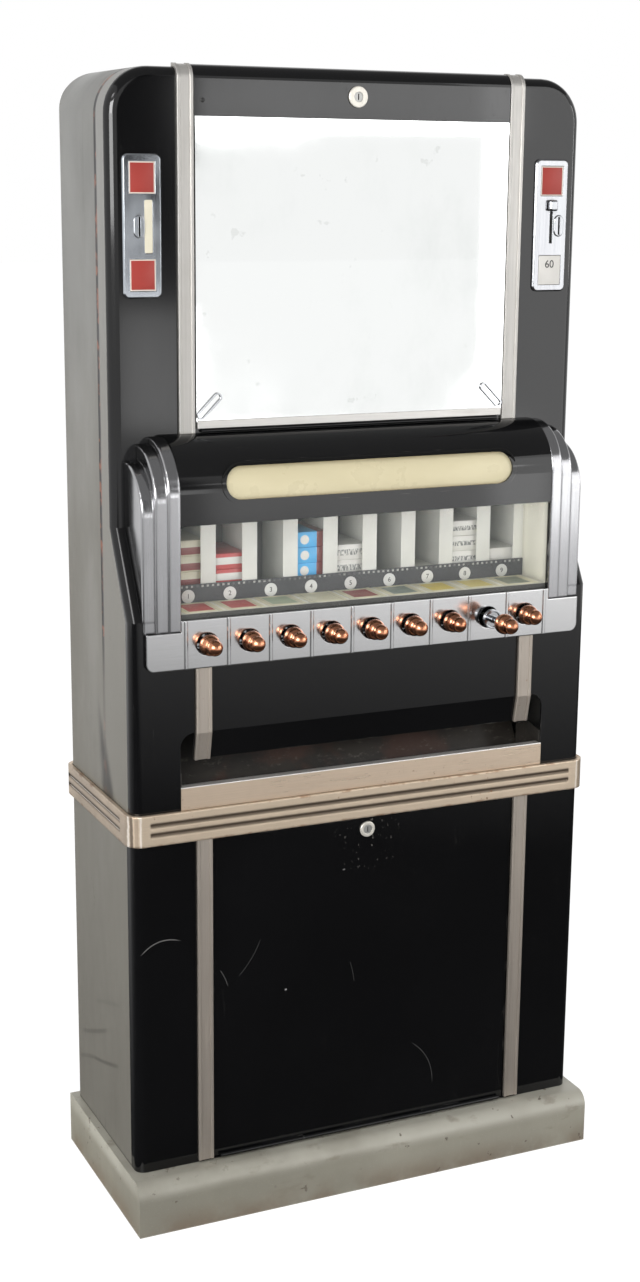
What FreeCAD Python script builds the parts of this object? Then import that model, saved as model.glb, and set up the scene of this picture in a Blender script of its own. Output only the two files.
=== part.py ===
"""Floor-standing vending machine with nine pull knobs, a mirror door and a storage base.

Millimetres, +Z up, front facing -Y. The origin is the middle of the plinth's underside.
Each function below builds one piece; the last block writes one STEP file per named piece.
"""
import FreeCAD
import Part

import os
from math import atan2, cos, sin, tan

Vector = FreeCAD.Vector
X_AXIS = Vector(1, 0, 0)
Y_AXIS = Vector(0, 1, 0)
Z_AXIS = Vector(0, 0, 1)

# --- Sheet, fits and small gaps -----------------------------------------------------------
SHEET = 2.0                     # folded steel of the cabinets and doors
THIN_SHEET = 1.5                # liner, tray, magazine and ducts
RUNNING_FIT = 0.05              # radial play of pins and lock plugs
MOVING_GAP = 0.3                # flat play between a moving piece and its seat
REVEAL = 1.5                    # gap round a closed door
THROUGH = 50.0                  # how far a cutting tool overshoots
OVERSHOOT = 1.0                 # how far a shallow cut starts outside the surface
EDGE_GAP = 1.0                  # loose play in covered holes
SLIVER = 0.01                   # flat left between the round ends of a pill outline
NEAR = 1e-4                     # positions closer than this count as the same

# --- Columns ------------------------------------------------------------------------------
STACK_COUNTS = (5, 4, 0, 5, 4, 0, 2, 5, 3)  # packs left in each column
COLUMN_COUNT = len(STACK_COUNTS)
COLUMN_PITCH = 61.0
SIDE_BAY = 75.5                 # from the magazine's side to the cabinet's side
CABINET_WIDTH = COLUMN_COUNT * COLUMN_PITCH + 2 * SIDE_BAY

# --- Plinth -------------------------------------------------------------------------------
PLINTH_SIDE = 11.0              # plinth beyond the cabinet's side
PLINTH_WIDTH = CABINET_WIDTH + 2 * PLINTH_SIDE
PLINTH_DEPTH = 317.0
PLINTH_HEIGHT = 77.0
PLINTH_NOSE_RADIUS = 20.0
PLINTH_WALL = 3.0
PLINTH_WEB_WIDTH = 40.0         # stiffening channel across the middle of the underside

# --- Cabinets -----------------------------------------------------------------------------
CABINET_DEPTH = 275.0
REAR_MARGIN = 3.5               # rear of the cabinets in front of the plinth's rear
LOWER_HEIGHT = 523.0            # plinth top to deck top
UPPER_HEIGHT = 976.0            # deck top to cabinet top
UPPER_SETBACK = 65.0            # upper front behind the lower front
SHOULDER_BOTTOM = 268.0         # above the deck
SHOULDER_HEIGHT = 117.0
CORNER_RADIUS = 14.0            # rolled vertical and top edges
CROWN_RADIUS = 60.0             # top corners seen from the front
LOWER_SEAM = 26.0               # front frame wraps this far round the sides
UPPER_SEAM = 112.0              # upper front shell wraps this far behind the lower front
FLANGE = 15.0                   # inward flanges of the wraps
JAMB_DEPTH = 16.0

# --- Belt between the cabinets ------------------------------------------------------------
BELT_PROUD = 7.0
BELT_WALL = 3.5
BELT_HEIGHT = 43.5
BELT_ABOVE_DECK = 3.5
BELT_GROOVE_RADIUS = 3.0
BELT_GROOVE_DEPTH = 2.0
BELT_GROOVE_PITCH = 13.5
BELT_PLAIN_CORNER = 30.0        # groove ends short of the front corner
BELT_PLAIN_SIDE = 42.0          # groove starts this far behind the belt's front

# --- Lower door ---------------------------------------------------------------------------
LOWER_DOOR_SIDE = 115.5         # door's side inside the cabinet's side
LOWER_DOOR_WIDTH = CABINET_WIDTH - 2 * LOWER_DOOR_SIDE
LOWER_DOOR_TOP_MARGIN = 43.5    # door top below the deck top
DOOR_DEPTH = 20.0
LOWER_KNUCKLE_RADIUS = 3.0
LEAF = 1.2                      # hinge leaf
THIN_LEAF = 0.6                 # leaf under the lower door
HINGE_INSET = 8.0               # hinge end inside the door's side
DOOR_BELOW_HINGE = 1.0          # lower door's edge below its hinge axis
LOWER_HINGE_PIN_RADIUS = 1.5
HINGE_KNUCKLES = 7              # odd: both end knuckles belong to the fixed leaf
LOCK_BELOW_DOOR_TOP = 16.0

# --- Mirror door --------------------------------------------------------------------------
MIRROR_DOOR_SIDE = 117.0        # door's side inside the cabinet's side
MIRROR_DOOR_WIDTH = CABINET_WIDTH - 2 * MIRROR_DOOR_SIDE
MIRROR_DOOR_PROUD = 4.0         # door face in front of the shell
MIRROR_DOOR_OVERHANG = 18.0     # header's return over the cabinet top
HEADER_RADIUS = 18.0
HEADER_HEIGHT = 61.0            # mirror top to cabinet top
MIRROR_HEIGHT = 393.5
MIRROR_THICKNESS = 3.2
MIRROR_SIDE_MARGIN = 1.0
MIRROR_TRIM_HEIGHT = 9.0
MIRROR_TRIM_LIP = 1.5
MIRROR_DOOR_LIP = 11.0          # shell left beside the loading opening
UPPER_KNUCKLE_RADIUS = 2.4
UPPER_HINGE_PIN_RADIUS = 1.2
UPPER_HINGE_CLEAR = 0.8         # knuckles below the mirror's trim
UPPER_LEAF_RISE = 0.8           # fixed leaf's top above the hinge axis
UPPER_PLATE_RISE = 1.2          # backing plate's foot above the hinge axis
LOADING_SILL = 4.0              # loading opening above the trim's foot
DOOR_RING_DEPTH = 2.0           # stiffening ring inside the shell's thickness
DOOR_RING_TOP_MARGIN = 55.0
UPPER_LOCK_BELOW_TOP = 32.0
OPENING_BELOW_TOP = 18.0
CLIP_LENGTH = 45.0
CLIP_WIDTH = 12.0
CLIP_WIRE = 2.4
CLIP_INSET = 3.0

# --- Locks --------------------------------------------------------------------------------
LOCK_BODY_RADIUS = 9.0
LOCK_PLUG_RADIUS = 6.5
LOCK_COLLAR_PROUD = 3.0
LOCK_NUT_RADIUS = 11.0
LOCK_NUT_THICKNESS = 3.0
LOWER_COLLAR_RADIUS = 11.5
UPPER_COLLAR_RADIUS = 14.0
LOCK_BODY_LENGTH = 20.5
LOCK_CAM_LENGTH = 24.0
LOCK_CAM_WIDTH = 12.0
LOCK_PLUG_RECESS = 0.6
KEYWAY_WIDTH = 1.6
KEYWAY_HEIGHT = 8.0
KEYWAY_DEPTH = 6.0

# --- Beaded strips ------------------------------------------------------------------------
STRIP_WIDTH = 22.0
STRIP_THICKNESS = 4.0
STRIP_BEAD_WIDTH = 4.0
STRIP_BEAD_PROUD = 1.0
STRIP_FOOT_GAP = 1.5
UPPER_STRIP_GAP = 1.0           # strip beside the mirror door
LOWER_STRIP_GAP = 2.5           # strip beside the lower door
UPPER_STRIP_CENTRE = MIRROR_DOOR_WIDTH / 2 + UPPER_STRIP_GAP + STRIP_WIDTH / 2
LOWER_STRIP_CENTRE = LOWER_DOOR_WIDTH / 2 + LOWER_STRIP_GAP + STRIP_WIDTH / 2

# --- Magazine -----------------------------------------------------------------------------
PACK_SIDE_PLAY = 2.0            # between a pack and the column's wall
PACK_WIDTH = COLUMN_PITCH - SHEET - 2 * PACK_SIDE_PLAY
PACK_LENGTH = 87.0
PACK_HEIGHT = 22.0
PACK_BEHIND_FRONT = 8.0         # pack fronts behind the upper front
PACK_REAR_PLAY = 5.0
LEDGE_ABOVE_DECK = 250.0
LEDGE_WIDTH = 10.0
LEDGE_SETBACK = 2.0             # ledges and runners behind the front lips
LIP_WIDTH = 22.0
MAGAZINE_HEIGHT = 650.0
RUNNER_DROP = 28.0              # slide runners below the ledges
RUNNER_WIDTH = 6.0
BULKHEAD_MARGIN = 10.0

# --- Knobs, rods and slides ---------------------------------------------------------------
STROKE = 58.0                   # full pull of a knob
STOP_CLEARANCE = 4.0            # crossbar behind the shell at full pull
PULLED_COLUMNS = (8,)
PULLED_OUT = 38.0
KNOB_BALL_RADIUS = 14.4
KNOB_NOSE_RADIUS = 11.0
KNOB_NOSE_OFFSET = 17.0
KNOB_BACK_OFFSET = 8.0          # flat back behind the ball's centre
KNOB_STANDOFF = 1.0
KNOB_BORE_DEPTH = 10.0
STEM_RADIUS = 5.0
ROD_RADIUS = 4.0
COLLAR_RADIUS = 13.5
COLLAR_OFFSET = 32.0            # collar's front face behind the ball's centre
COLLAR_LENGTH = 6.0
COLLAR_RIM = 2.5
COLLAR_DISH = 2.0
KNOB_HOLE_RADIUS = 15.0
ROD_ABOVE_DECK = 234.0
ARM_THICKNESS = 1.2
ARM_HEIGHT = 15.0
ARM_CLEARANCE = 0.3
PUSHER_WIDTH = 32.0
PUSHER_BEHIND_PACK = 1.0        # pusher's rear face behind the packs
CROSSBAR_HEIGHT = 22.0

# --- Knob rail, window and hood -----------------------------------------------------------
RAIL_PROUD = 7.0
RAIL_WALL = 2.5
RAIL_BOTTOM = 201.5             # above the deck
RAIL_FROM_SIDE = 20.0           # rail's end inside the cabinet's side
RAIL_END_DROP = 15.5
RAIL_CORNER_RADIUS = 10.0
RAIL_RIB_WIDTH = 4.0
RAIL_RIB_PROUD = 1.2
WINDOW_MARGIN = 6.5             # window side beyond the magazine
GLASS_THICKNESS = 3.0
GLASS_PROUD = 1.0               # glass front in front of the lower front
GLASS_HEIGHT = 130.0
HOOD_PROUD = 6.0                # hood front in front of the lower front
HOOD_BOTTOM = 394.0             # above the deck
HOOD_TOP = 506.0                # above the deck
HOOD_FLANGE = 11.0
HOOD_FLAT = 1.0                 # flat left behind the hood's quarter round
SIGN_FROM_WINDOW_SIDE = 65.0
SIGN_HEIGHT = 44.0
SIGN_ABOVE_HOOD_BOTTOM = 53.0
SIGN_RIM = 6.0
SIGN_RIM_PROUD = 1.5
SIGN_THICKNESS = 1.5
SHELF_RISE = 7.0                # card shelf above the shoulder's foot
LINER_SKIRT = 10.0
LINER_TOP_MARGIN = 76.0
CARD_GAP = 6.0                  # between neighbouring cards
CARD_LENGTH = 58.0
CARD_THICKNESS = 0.8
DISC_STRIP_HEIGHT = 28.0
DISC_STRIP_DROP = 3.0           # strip's foot below the card shelf
DISC_RADIUS = 9.3
DISC_THICKNESS = 1.0

# --- Pilasters ----------------------------------------------------------------------------
PILASTER_FROM_SIDE = 17.0       # pilaster's outer side inside the cabinet's side
PILASTER_RIB_FRONTS = (7.0, 5.0, 2.0)      # inner to outer, in front of the lower front
PILASTER_RIB_TOPS = (504.0, 495.0, 474.0)  # above the deck
PILASTER_WALL = 2.5
PILASTER_EDGE_RADIUS = 3.0
PILASTER_SOLID_FOOT = 40.0

# --- Delivery opening and tray ------------------------------------------------------------
DELIVERY_BOTTOM = 34.0          # above the deck
DELIVERY_TOP = 111.0
DELIVERY_CORNER_RADIUS = 20.0
BAFFLE_DROP = 39.0
BAFFLE_DEPTH = 8.0
TRAY_FLOOR_BACK = 66.0          # floor length front to back
TRAY_FLOOR_RISE = 20.0
TRAY_WALL_HEIGHT = 200.0
TRAY_FLOOR_CLEAR = 12.0         # lowest floor point above the deck
CHEEK_THICKNESS = 2.0
CHEEK_HEIGHT = 54.0
CHEEK_CROWN = 7.0
LIP_PLATE = 2.0
LIP_RETURN = 11.0

# --- Coin plates and coin path ------------------------------------------------------------
PLATE_WIDTH = 53.0
PLATE_HEIGHT = 182.5
PLATE_THICKNESS = 4.0
PLATE_RADIUS = 8.0
PLATE_BEVEL = 2.0
PLATE_FROM_SIDE = 45.5          # plate centre inside the cabinet's side
PLATE_BELOW_TOP = 200.0
LABEL_WIDTH = 36.0
LABEL_HEIGHT = 41.0
LABEL_RECESS = 0.6
LABEL_OFFSET = 61.5
BOSS_WIDTH = 15.0
BOSS_HEIGHT = 29.0
BOSS_PROUD = 1.6
SLIT_WIDTH = 2.6
SLIT_HEIGHT = 24.0
RIGHT_BOSS_OFFSET = 12.5
LEFT_BOSS_OFFSET = 4.5
STRIP_WINDOW_WIDTH = 11.5
STRIP_WINDOW_HEIGHT = 68.0
STRIP_WINDOW_OFFSET = -8.3
SLIDE_TRAVEL = 48.0
SLIDE_OFFSET = 0.5
SLIDE_REST_RISE = 28.0          # slide knob above the plate centre at rest
SLIDE_KNOB_WIDTH = 13.0
SLIDE_KNOB_HEIGHT = 15.0
SLIDE_KNOB_PROUD = 6.5
SLIDE_NECK_WIDTH = 4.0
SLIDE_NECK_HEIGHT = 6.0
SLIDE_SHOE_WIDTH = 12.0
SLIDE_SHOE_HEIGHT = 20.0
MECHANISM_CLEARANCE = 12.5      # between the magazine's side and a coin mechanism
MECHANISM_DEPTH = 40.0
MECHANISM_HEIGHT = 170.0
MECHANISM_FROM_SIDE = 14.0      # mechanism's outer side inside the cabinet's side
COIN_CHANNEL = 4.0
COIN_CHANNEL_DEPTH = 33.0
DUCT_WIDTH = 26.0
DUCT_DEPTH = 22.0
DUCT_FROM_SIDE = 35.0
DUCT_BEHIND_SHELL = 13.0
DUCT_OUTLET_FROM_CENTRE = 73.0
DUCT_TURN_BELOW_DECK = 40.0

# --- Cash box -----------------------------------------------------------------------------
CASH_BOX_WIDTH = 220.0
CASH_BOX_LENGTH = 140.0
CASH_BOX_HEIGHT = 163.0
CASH_BOX_TRAVEL = 38.0
CASH_BOX_HANDLE_WIDTH = 90.0
CASH_BOX_HANDLE_HEIGHT = 12.0
CASH_BOX_HANDLE_PROUD = 16.0
CASH_BOX_HANDLE_RISE = 114.0
CASH_BOX_STOP_GAP = 6.0         # handle behind the closed door at full travel
DUCT_ABOVE_BOX = 6.0

# --- Rear panel ---------------------------------------------------------------------------
LOUVRE_COLUMNS = 3
LOUVRE_ROWS = 6
LOUVRE_LENGTH = 90.0
LOUVRE_HEIGHT = 5.0
LOUVRE_PITCH_X = 130.0
LOUVRE_PITCH_Z = 18.0
LOUVRE_BELOW_TOP = 230.0

# --- Derived planes -----------------------------------------------------------------------
PLINTH_FRONT_Y = -PLINTH_DEPTH / 2
PLINTH_REAR_Y = PLINTH_DEPTH / 2
REAR_Y = PLINTH_REAR_Y - REAR_MARGIN
FRONT_Y = REAR_Y - CABINET_DEPTH
UPPER_FRONT_Y = FRONT_Y + UPPER_SETBACK
LOWER_SEAM_Y = FRONT_Y + LOWER_SEAM
UPPER_SEAM_Y = FRONT_Y + UPPER_SEAM
HALF_WIDTH = CABINET_WIDTH / 2

DECK_Z = PLINTH_HEIGHT + LOWER_HEIGHT
TOP_Z = DECK_Z + UPPER_HEIGHT
SHOULDER_Z = DECK_Z + SHOULDER_BOTTOM
SHOULDER_TOP_Z = SHOULDER_Z + SHOULDER_HEIGHT
SHOULDER_ANGLE = atan2(UPPER_SETBACK, SHOULDER_HEIGHT)
HOOD_TOP_Z = DECK_Z + HOOD_TOP
HOOD_BOTTOM_Z = DECK_Z + HOOD_BOTTOM
HOOD_FRONT_Y = FRONT_Y - HOOD_PROUD

MAGAZINE_HALF = COLUMN_COUNT * COLUMN_PITCH / 2
WINDOW_HALF = MAGAZINE_HALF + WINDOW_MARGIN
RAIL_HALF_WIDTH = HALF_WIDTH - RAIL_FROM_SIDE
PILASTER_WIDTH = HALF_WIDTH - PILASTER_FROM_SIDE - WINDOW_HALF
SIGN_WIDTH = 2 * (WINDOW_HALF - SIGN_FROM_WINDOW_SIDE)
CARD_WIDTH = COLUMN_PITCH - CARD_GAP
LEDGE_Z = DECK_Z + LEDGE_ABOVE_DECK
PACK_FRONT_Y = UPPER_FRONT_Y + PACK_BEHIND_FRONT
BULKHEAD_Y = PACK_FRONT_Y + PACK_LENGTH + PACK_REAR_PLAY
LIP_FRONT_Y = UPPER_FRONT_Y + SHEET + MOVING_GAP
SHELF_Z = SHOULDER_Z + SHELF_RISE
DISC_STRIP_Z = SHELF_Z - DISC_STRIP_DROP
RUNNER_Z = LEDGE_Z - RUNNER_DROP

RAIL_Z = DECK_Z + RAIL_BOTTOM
RAIL_FRONT_Y = FRONT_Y - RAIL_PROUD
ROD_Z = DECK_Z + ROD_ABOVE_DECK
BALL_Y = RAIL_FRONT_Y - KNOB_STANDOFF - KNOB_BACK_OFFSET
CROSSBAR_Y = FRONT_Y + SHEET + STOP_CLEARANCE + STROKE

LOWER_DOOR_TOP_Z = DECK_Z - LOWER_DOOR_TOP_MARGIN
LOWER_SILL_Z = PLINTH_HEIGHT + SHEET
LOWER_HINGE_Y = FRONT_Y - LOWER_KNUCKLE_RADIUS - MOVING_GAP
LOWER_HINGE_Z = LOWER_SILL_Z + LOWER_KNUCKLE_RADIUS
LOWER_LOCK_Z = LOWER_DOOR_TOP_Z - LOCK_BELOW_DOOR_TOP

MIRROR_TOP_Z = TOP_Z - HEADER_HEIGHT
MIRROR_Z = MIRROR_TOP_Z - MIRROR_HEIGHT
MIRROR_TRIM_Z = MIRROR_Z - MIRROR_TRIM_HEIGHT
DOOR_BACK_Y = UPPER_FRONT_Y - MOVING_GAP
DOOR_FACE_Y = UPPER_FRONT_Y - MIRROR_DOOR_PROUD
MIRROR_BACK_Y = DOOR_BACK_Y - THIN_SHEET
MIRROR_FRONT_Y = MIRROR_BACK_Y - MIRROR_THICKNESS
UPPER_HINGE_Y = MIRROR_FRONT_Y
UPPER_HINGE_Z = MIRROR_TRIM_Z - UPPER_KNUCKLE_RADIUS - UPPER_HINGE_CLEAR
UPPER_LOCK_Z = TOP_Z - UPPER_LOCK_BELOW_TOP
LOADING_TOP_Z = TOP_Z - OPENING_BELOW_TOP
LOADING_BOTTOM_Z = MIRROR_TRIM_Z + LOADING_SILL

PLATE_X = HALF_WIDTH - PLATE_FROM_SIDE
PLATE_Z = TOP_Z - PLATE_BELOW_TOP
SLIDE_X = PLATE_X + SLIDE_OFFSET
SLIDE_Z = PLATE_Z + SLIDE_REST_RISE
PLATE_FRONT_Y = UPPER_FRONT_Y - PLATE_THICKNESS
MECHANISM_Z = PLATE_Z - MECHANISM_HEIGHT / 2
MECHANISM_X = (
    MAGAZINE_HALF + MECHANISM_CLEARANCE, HALF_WIDTH - MECHANISM_FROM_SIDE)
DUCT_X = HALF_WIDTH - DUCT_FROM_SIDE
DUCT_Y = UPPER_FRONT_Y + SHEET + DUCT_BEHIND_SHELL

CASH_BOX_Z = PLINTH_HEIGHT
CASH_BOX_FRONT_Y = (
    FRONT_Y + DOOR_DEPTH + CASH_BOX_STOP_GAP + CASH_BOX_TRAVEL + CASH_BOX_HANDLE_PROUD)


# --- Shape helpers ------------------------------------------------------------------------
def box(x_span, y_span, z_span):
    """Box between the low and high value of each span."""
    corner = Vector(x_span[0], y_span[0], z_span[0])
    return Part.makeBox(
        x_span[1] - x_span[0], y_span[1] - y_span[0], z_span[1] - z_span[0], corner)


def rounded_face(points, radii):
    """Planar face through the points, each corner rounded by its own radius."""
    count = len(points)
    arcs = []
    for i in range(count):
        corner = points[i]
        if radii[i] <= 0:
            arcs.append((corner, corner, corner))
            continue
        before = (points[i - 1] - corner).normalize()
        after = (points[(i + 1) % count] - corner).normalize()
        half_angle = before.getAngle(after) / 2
        run = radii[i] / tan(half_angle)
        inward = (before + after).normalize()
        middle = corner + inward * (radii[i] / sin(half_angle) - radii[i])
        arcs.append((corner + before * run, middle, corner + after * run))
    edges = []
    for i in range(count):
        start, middle, end = arcs[i]
        if radii[i] > 0:
            edges.append(Part.Arc(start, middle, end).toShape())
        following = arcs[(i + 1) % count][0]
        if end.distanceToPoint(following) > NEAR:
            edges.append(Part.LineSegment(end, following).toShape())
    return Part.Face(Part.Wire(edges))


def corner_radii(points, radii):
    """One radius per corner; a single number serves all corners."""
    if isinstance(radii, (int, float)):
        return [radii] * len(points)
    return radii


def side_profile(points, x_span, radii=0):
    """Outline of (y, z) points seen from the side, extruded along X."""
    corners = [Vector(x_span[0], y, z) for y, z in points]
    face = rounded_face(corners, corner_radii(points, radii))
    return face.extrude(X_AXIS * (x_span[1] - x_span[0]))


def front_profile(points, y_span, radii=0):
    """Outline of (x, z) points seen from the front, extruded along Y."""
    corners = [Vector(x, y_span[0], z) for x, z in points]
    face = rounded_face(corners, corner_radii(points, radii))
    return face.extrude(Y_AXIS * (y_span[1] - y_span[0]))


def plan_face(points, z, radii=0):
    """Outline of (x, y) points seen from above, as a face at height z."""
    corners = [Vector(x, y, z) for x, y in points]
    return rounded_face(corners, corner_radii(points, radii))


def rectangle(a_span, b_span):
    """Corners of a rectangle, anticlockwise from the low-low corner."""
    return [
        (a_span[0], b_span[0]),
        (a_span[1], b_span[0]),
        (a_span[1], b_span[1]),
        (a_span[0], b_span[1]),
    ]


def about(centre, width):
    """Span of the given width about a centre."""
    return (centre - width / 2, centre + width / 2)


def panel(x_span, y_span, z_span, radius):
    """Plate facing the front with rounded corners."""
    return front_profile(rectangle(x_span, z_span), y_span, radius)


def pill(x_span, y_span, z_span):
    """Plate facing the front, its shorter sides fully rounded."""
    shorter = min(x_span[1] - x_span[0], z_span[1] - z_span[0])
    return panel(x_span, y_span, z_span, shorter / 2 - SLIVER)


def rod(x, z, radius, y_span):
    """Round bar along Y."""
    return Part.makeCylinder(radius, y_span[1] - y_span[0], Vector(x, y_span[0], z), Y_AXIS)


def pin(y, z, radius, x_span):
    """Round bar along X."""
    return Part.makeCylinder(radius, x_span[1] - x_span[0], Vector(x_span[0], y, z), X_AXIS)


def mirrored(shape):
    """Copy on the other side of the middle plane."""
    return shape.mirror(Vector(0, 0, 0), X_AXIS)


def group(shapes):
    """Separate solids kept together in one named piece."""
    return Part.makeCompound(shapes)


def pair(shape):
    """The shape and its mirrored copy."""
    return group([mirrored(shape), shape])


def ribbon(path, near, far):
    """Closed outline between two offsets of an open path; positive is to its left."""
    directions = []
    for start, end in zip(path, path[1:]):
        directions.append(atan2(end[1] - start[1], end[0] - start[0]))
    sides = {near: [], far: []}
    for i, (a, b) in enumerate(path):
        before = directions[max(i - 1, 0)]
        after = directions[min(i, len(directions) - 1)]
        normal = (before + after) / 2
        stretch = 1 / cos((after - before) / 2)
        for offset, side in sides.items():
            side.append((a - sin(normal) * offset * stretch, b + cos(normal) * offset * stretch))
    return sides[near] + sides[far][::-1]


def column_x(column):
    """Middle of a column, counted from 1 at the left."""
    return (column - (COLUMN_COUNT + 1) / 2) * COLUMN_PITCH


def pulled(column):
    """How far a column's knob stands out at rest."""
    return PULLED_OUT if column in PULLED_COLUMNS else 0.0


# --- Plinth and lower cabinet -------------------------------------------------------------
def plinth_block(inset, x_span):
    """Plinth outline moved inwards, with its rounded top front edge."""
    front = PLINTH_FRONT_Y + inset
    rear = PLINTH_REAR_Y - inset
    points = rectangle((front, rear), (0, PLINTH_HEIGHT - inset))
    return side_profile(points, x_span, (0, 0, 0, PLINTH_NOSE_RADIUS - inset))


def base_plinth():
    """Pressed plinth, open underneath but for a channel across the middle."""
    half = PLINTH_WIDTH / 2
    block = plinth_block(0, (-half, half))
    cavity = plinth_block(PLINTH_WALL, (PLINTH_WEB_WIDTH / 2, half - PLINTH_WALL))
    return block.cut(cavity).cut(mirrored(cavity))


def cabinet_block(inset, z_span):
    """Lower cabinet outline in plan, moved inwards and extruded upwards."""
    half = HALF_WIDTH - inset
    outline = rectangle((-half, half), (FRONT_Y + inset, REAR_Y - inset))
    face = plan_face(outline, z_span[0], CORNER_RADIUS - inset)
    return face.extrude(Z_AXIS * (z_span[1] - z_span[0]))


def cabinet_ring(outer_inset, inner_inset, z_span):
    """Closed band between two insets of the cabinet outline."""
    return cabinet_block(outer_inset, z_span).cut(cabinet_block(inner_inset, z_span))


def behind(y):
    """Space behind a plane facing the front."""
    reach = CABINET_WIDTH + PLINTH_WIDTH
    return box((-reach, reach), (y, y + reach), (0, 2 * TOP_Z))


def lower_wrap():
    """Sides and back of the lower cabinet in one wrapped sheet, flanged top and bottom."""
    z_span = (PLINTH_HEIGHT, DECK_Z - SHEET)
    wall = cabinet_ring(0, SHEET, z_span)
    foot = cabinet_flange(z_span[0])
    head = cabinet_flange(z_span[1] - SHEET)
    return wall.multiFuse([foot, head]).common(behind(LOWER_SEAM_Y)).removeSplitter()


def cabinet_flange(z):
    """Inward flange at one height of the wrapped sheet."""
    block = cabinet_block(SHEET / 2, (z, z + SHEET))
    inner_half = HALF_WIDTH - SHEET - FLANGE
    inner = box(
        (-inner_half, inner_half), (FRONT_Y - THROUGH, REAR_Y - SHEET - FLANGE), (z, z + SHEET))
    return block.cut(inner)


def lower_door_opening(grow):
    """Spans of the door opening in the lower front, grown by a sheet where asked."""
    half = LOWER_DOOR_WIDTH / 2 + REVEAL + grow
    return (-half, half), (LOWER_SILL_Z - grow, LOWER_DOOR_TOP_Z + REVEAL + grow)


def lower_front_frame():
    """Front sheet of the lower cabinet, wrapped round both corners, with door jambs."""
    z_span = (PLINTH_HEIGHT, DECK_Z - SHEET)
    wall = cabinet_ring(0, SHEET, z_span).cut(behind(LOWER_SEAM_Y))
    x_outer, z_outer = lower_door_opening(SHEET)
    x_inner, z_inner = lower_door_opening(0)
    jamb = box(x_outer, (FRONT_Y, FRONT_Y + JAMB_DEPTH), z_outer)
    opening = box(x_inner, (FRONT_Y - THROUGH, FRONT_Y + THROUGH), z_inner)
    return wall.fuse(jamb).cut(opening).removeSplitter()


def knuckle_spans(half_length):
    """X spans of the hinge knuckles, with play between neighbours."""
    pitch = 2 * half_length / HINGE_KNUCKLES
    starts = [-half_length + i * pitch for i in range(HINGE_KNUCKLES)]
    return [(start + MOVING_GAP / 2, start + pitch - MOVING_GAP / 2) for start in starts]


def hinge_half_length(door_width):
    """Half the hinge's length, a little short of its door."""
    return door_width / 2 - HINGE_INSET


def lower_door():
    """Drop-down door pan with its own hinge knuckles and lock hole."""
    half = LOWER_DOOR_WIDTH / 2
    bottom = LOWER_HINGE_Z - DOOR_BELOW_HINGE
    y_span = (FRONT_Y, FRONT_Y + DOOR_DEPTH)
    pan = box((-half, half), y_span, (bottom, LOWER_DOOR_TOP_Z))
    hollow = box(
        (-half + SHEET, half - SHEET),
        (FRONT_Y + SHEET, FRONT_Y + THROUGH),
        (bottom + SHEET, LOWER_DOOR_TOP_Z - SHEET))
    pan = pan.cut(hollow)
    knuckles = []
    for span in knuckle_spans(hinge_half_length(LOWER_DOOR_WIDTH))[1::2]:
        knuckles.append(pin(LOWER_HINGE_Y, LOWER_HINGE_Z, LOWER_KNUCKLE_RADIUS, span))
        knuckles.append(
            box(span, (LOWER_HINGE_Y, FRONT_Y + SHEET),
                (LOWER_HINGE_Z, LOWER_HINGE_Z + LOWER_KNUCKLE_RADIUS)))
    bore = pin(
        LOWER_HINGE_Y, LOWER_HINGE_Z, LOWER_HINGE_PIN_RADIUS + RUNNING_FIT, (-half, half))
    lock_hole = rod(
        0, LOWER_LOCK_Z, LOCK_BODY_RADIUS, (FRONT_Y - OVERSHOOT, FRONT_Y + SHEET + OVERSHOOT))
    return pan.multiFuse(knuckles).cut(bore).cut(lock_hole).removeSplitter()


def lower_door_hinge():
    """Fixed leaf on the sill with its knuckles and the hinge pin."""
    half = hinge_half_length(LOWER_DOOR_WIDTH)
    pieces = [pin(LOWER_HINGE_Y, LOWER_HINGE_Z, LOWER_HINGE_PIN_RADIUS, (-half, half))]
    for span in knuckle_spans(half)[0::2]:
        pieces.append(pin(LOWER_HINGE_Y, LOWER_HINGE_Z, LOWER_KNUCKLE_RADIUS, span))
        pieces.append(
            box(span, (LOWER_HINGE_Y, FRONT_Y), (LOWER_SILL_Z, LOWER_SILL_Z + LEAF)))
    leaf = box(
        (-half, half), (FRONT_Y - LEAF, FRONT_Y + JAMB_DEPTH),
        (LOWER_SILL_Z, LOWER_SILL_Z + THIN_LEAF))
    return leaf.multiFuse(pieces).removeSplitter()


def cash_box():
    """Open steel box that catches the coins, with a bow handle in front."""
    half = CASH_BOX_WIDTH / 2
    y_span = (CASH_BOX_FRONT_Y, CASH_BOX_FRONT_Y + CASH_BOX_LENGTH)
    top = CASH_BOX_Z + CASH_BOX_HEIGHT
    body = box((-half, half), y_span, (CASH_BOX_Z, top))
    hollow = box(
        (-half + THIN_SHEET, half - THIN_SHEET),
        (y_span[0] + THIN_SHEET, y_span[1] - THIN_SHEET),
        (CASH_BOX_Z + THIN_SHEET, top + OVERSHOOT))
    handle_z = about(CASH_BOX_Z + CASH_BOX_HANDLE_RISE, CASH_BOX_HANDLE_HEIGHT)
    handle_y = (CASH_BOX_FRONT_Y - CASH_BOX_HANDLE_PROUD, CASH_BOX_FRONT_Y)
    bow = box(about(0, CASH_BOX_HANDLE_WIDTH), handle_y, handle_z)
    grip = box(
        about(0, CASH_BOX_HANDLE_WIDTH - 4 * SHEET),
        (handle_y[0] + 2 * SHEET, handle_y[1]),
        handle_z)
    return body.cut(hollow).fuse(bow.cut(grip)).removeSplitter()


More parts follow.
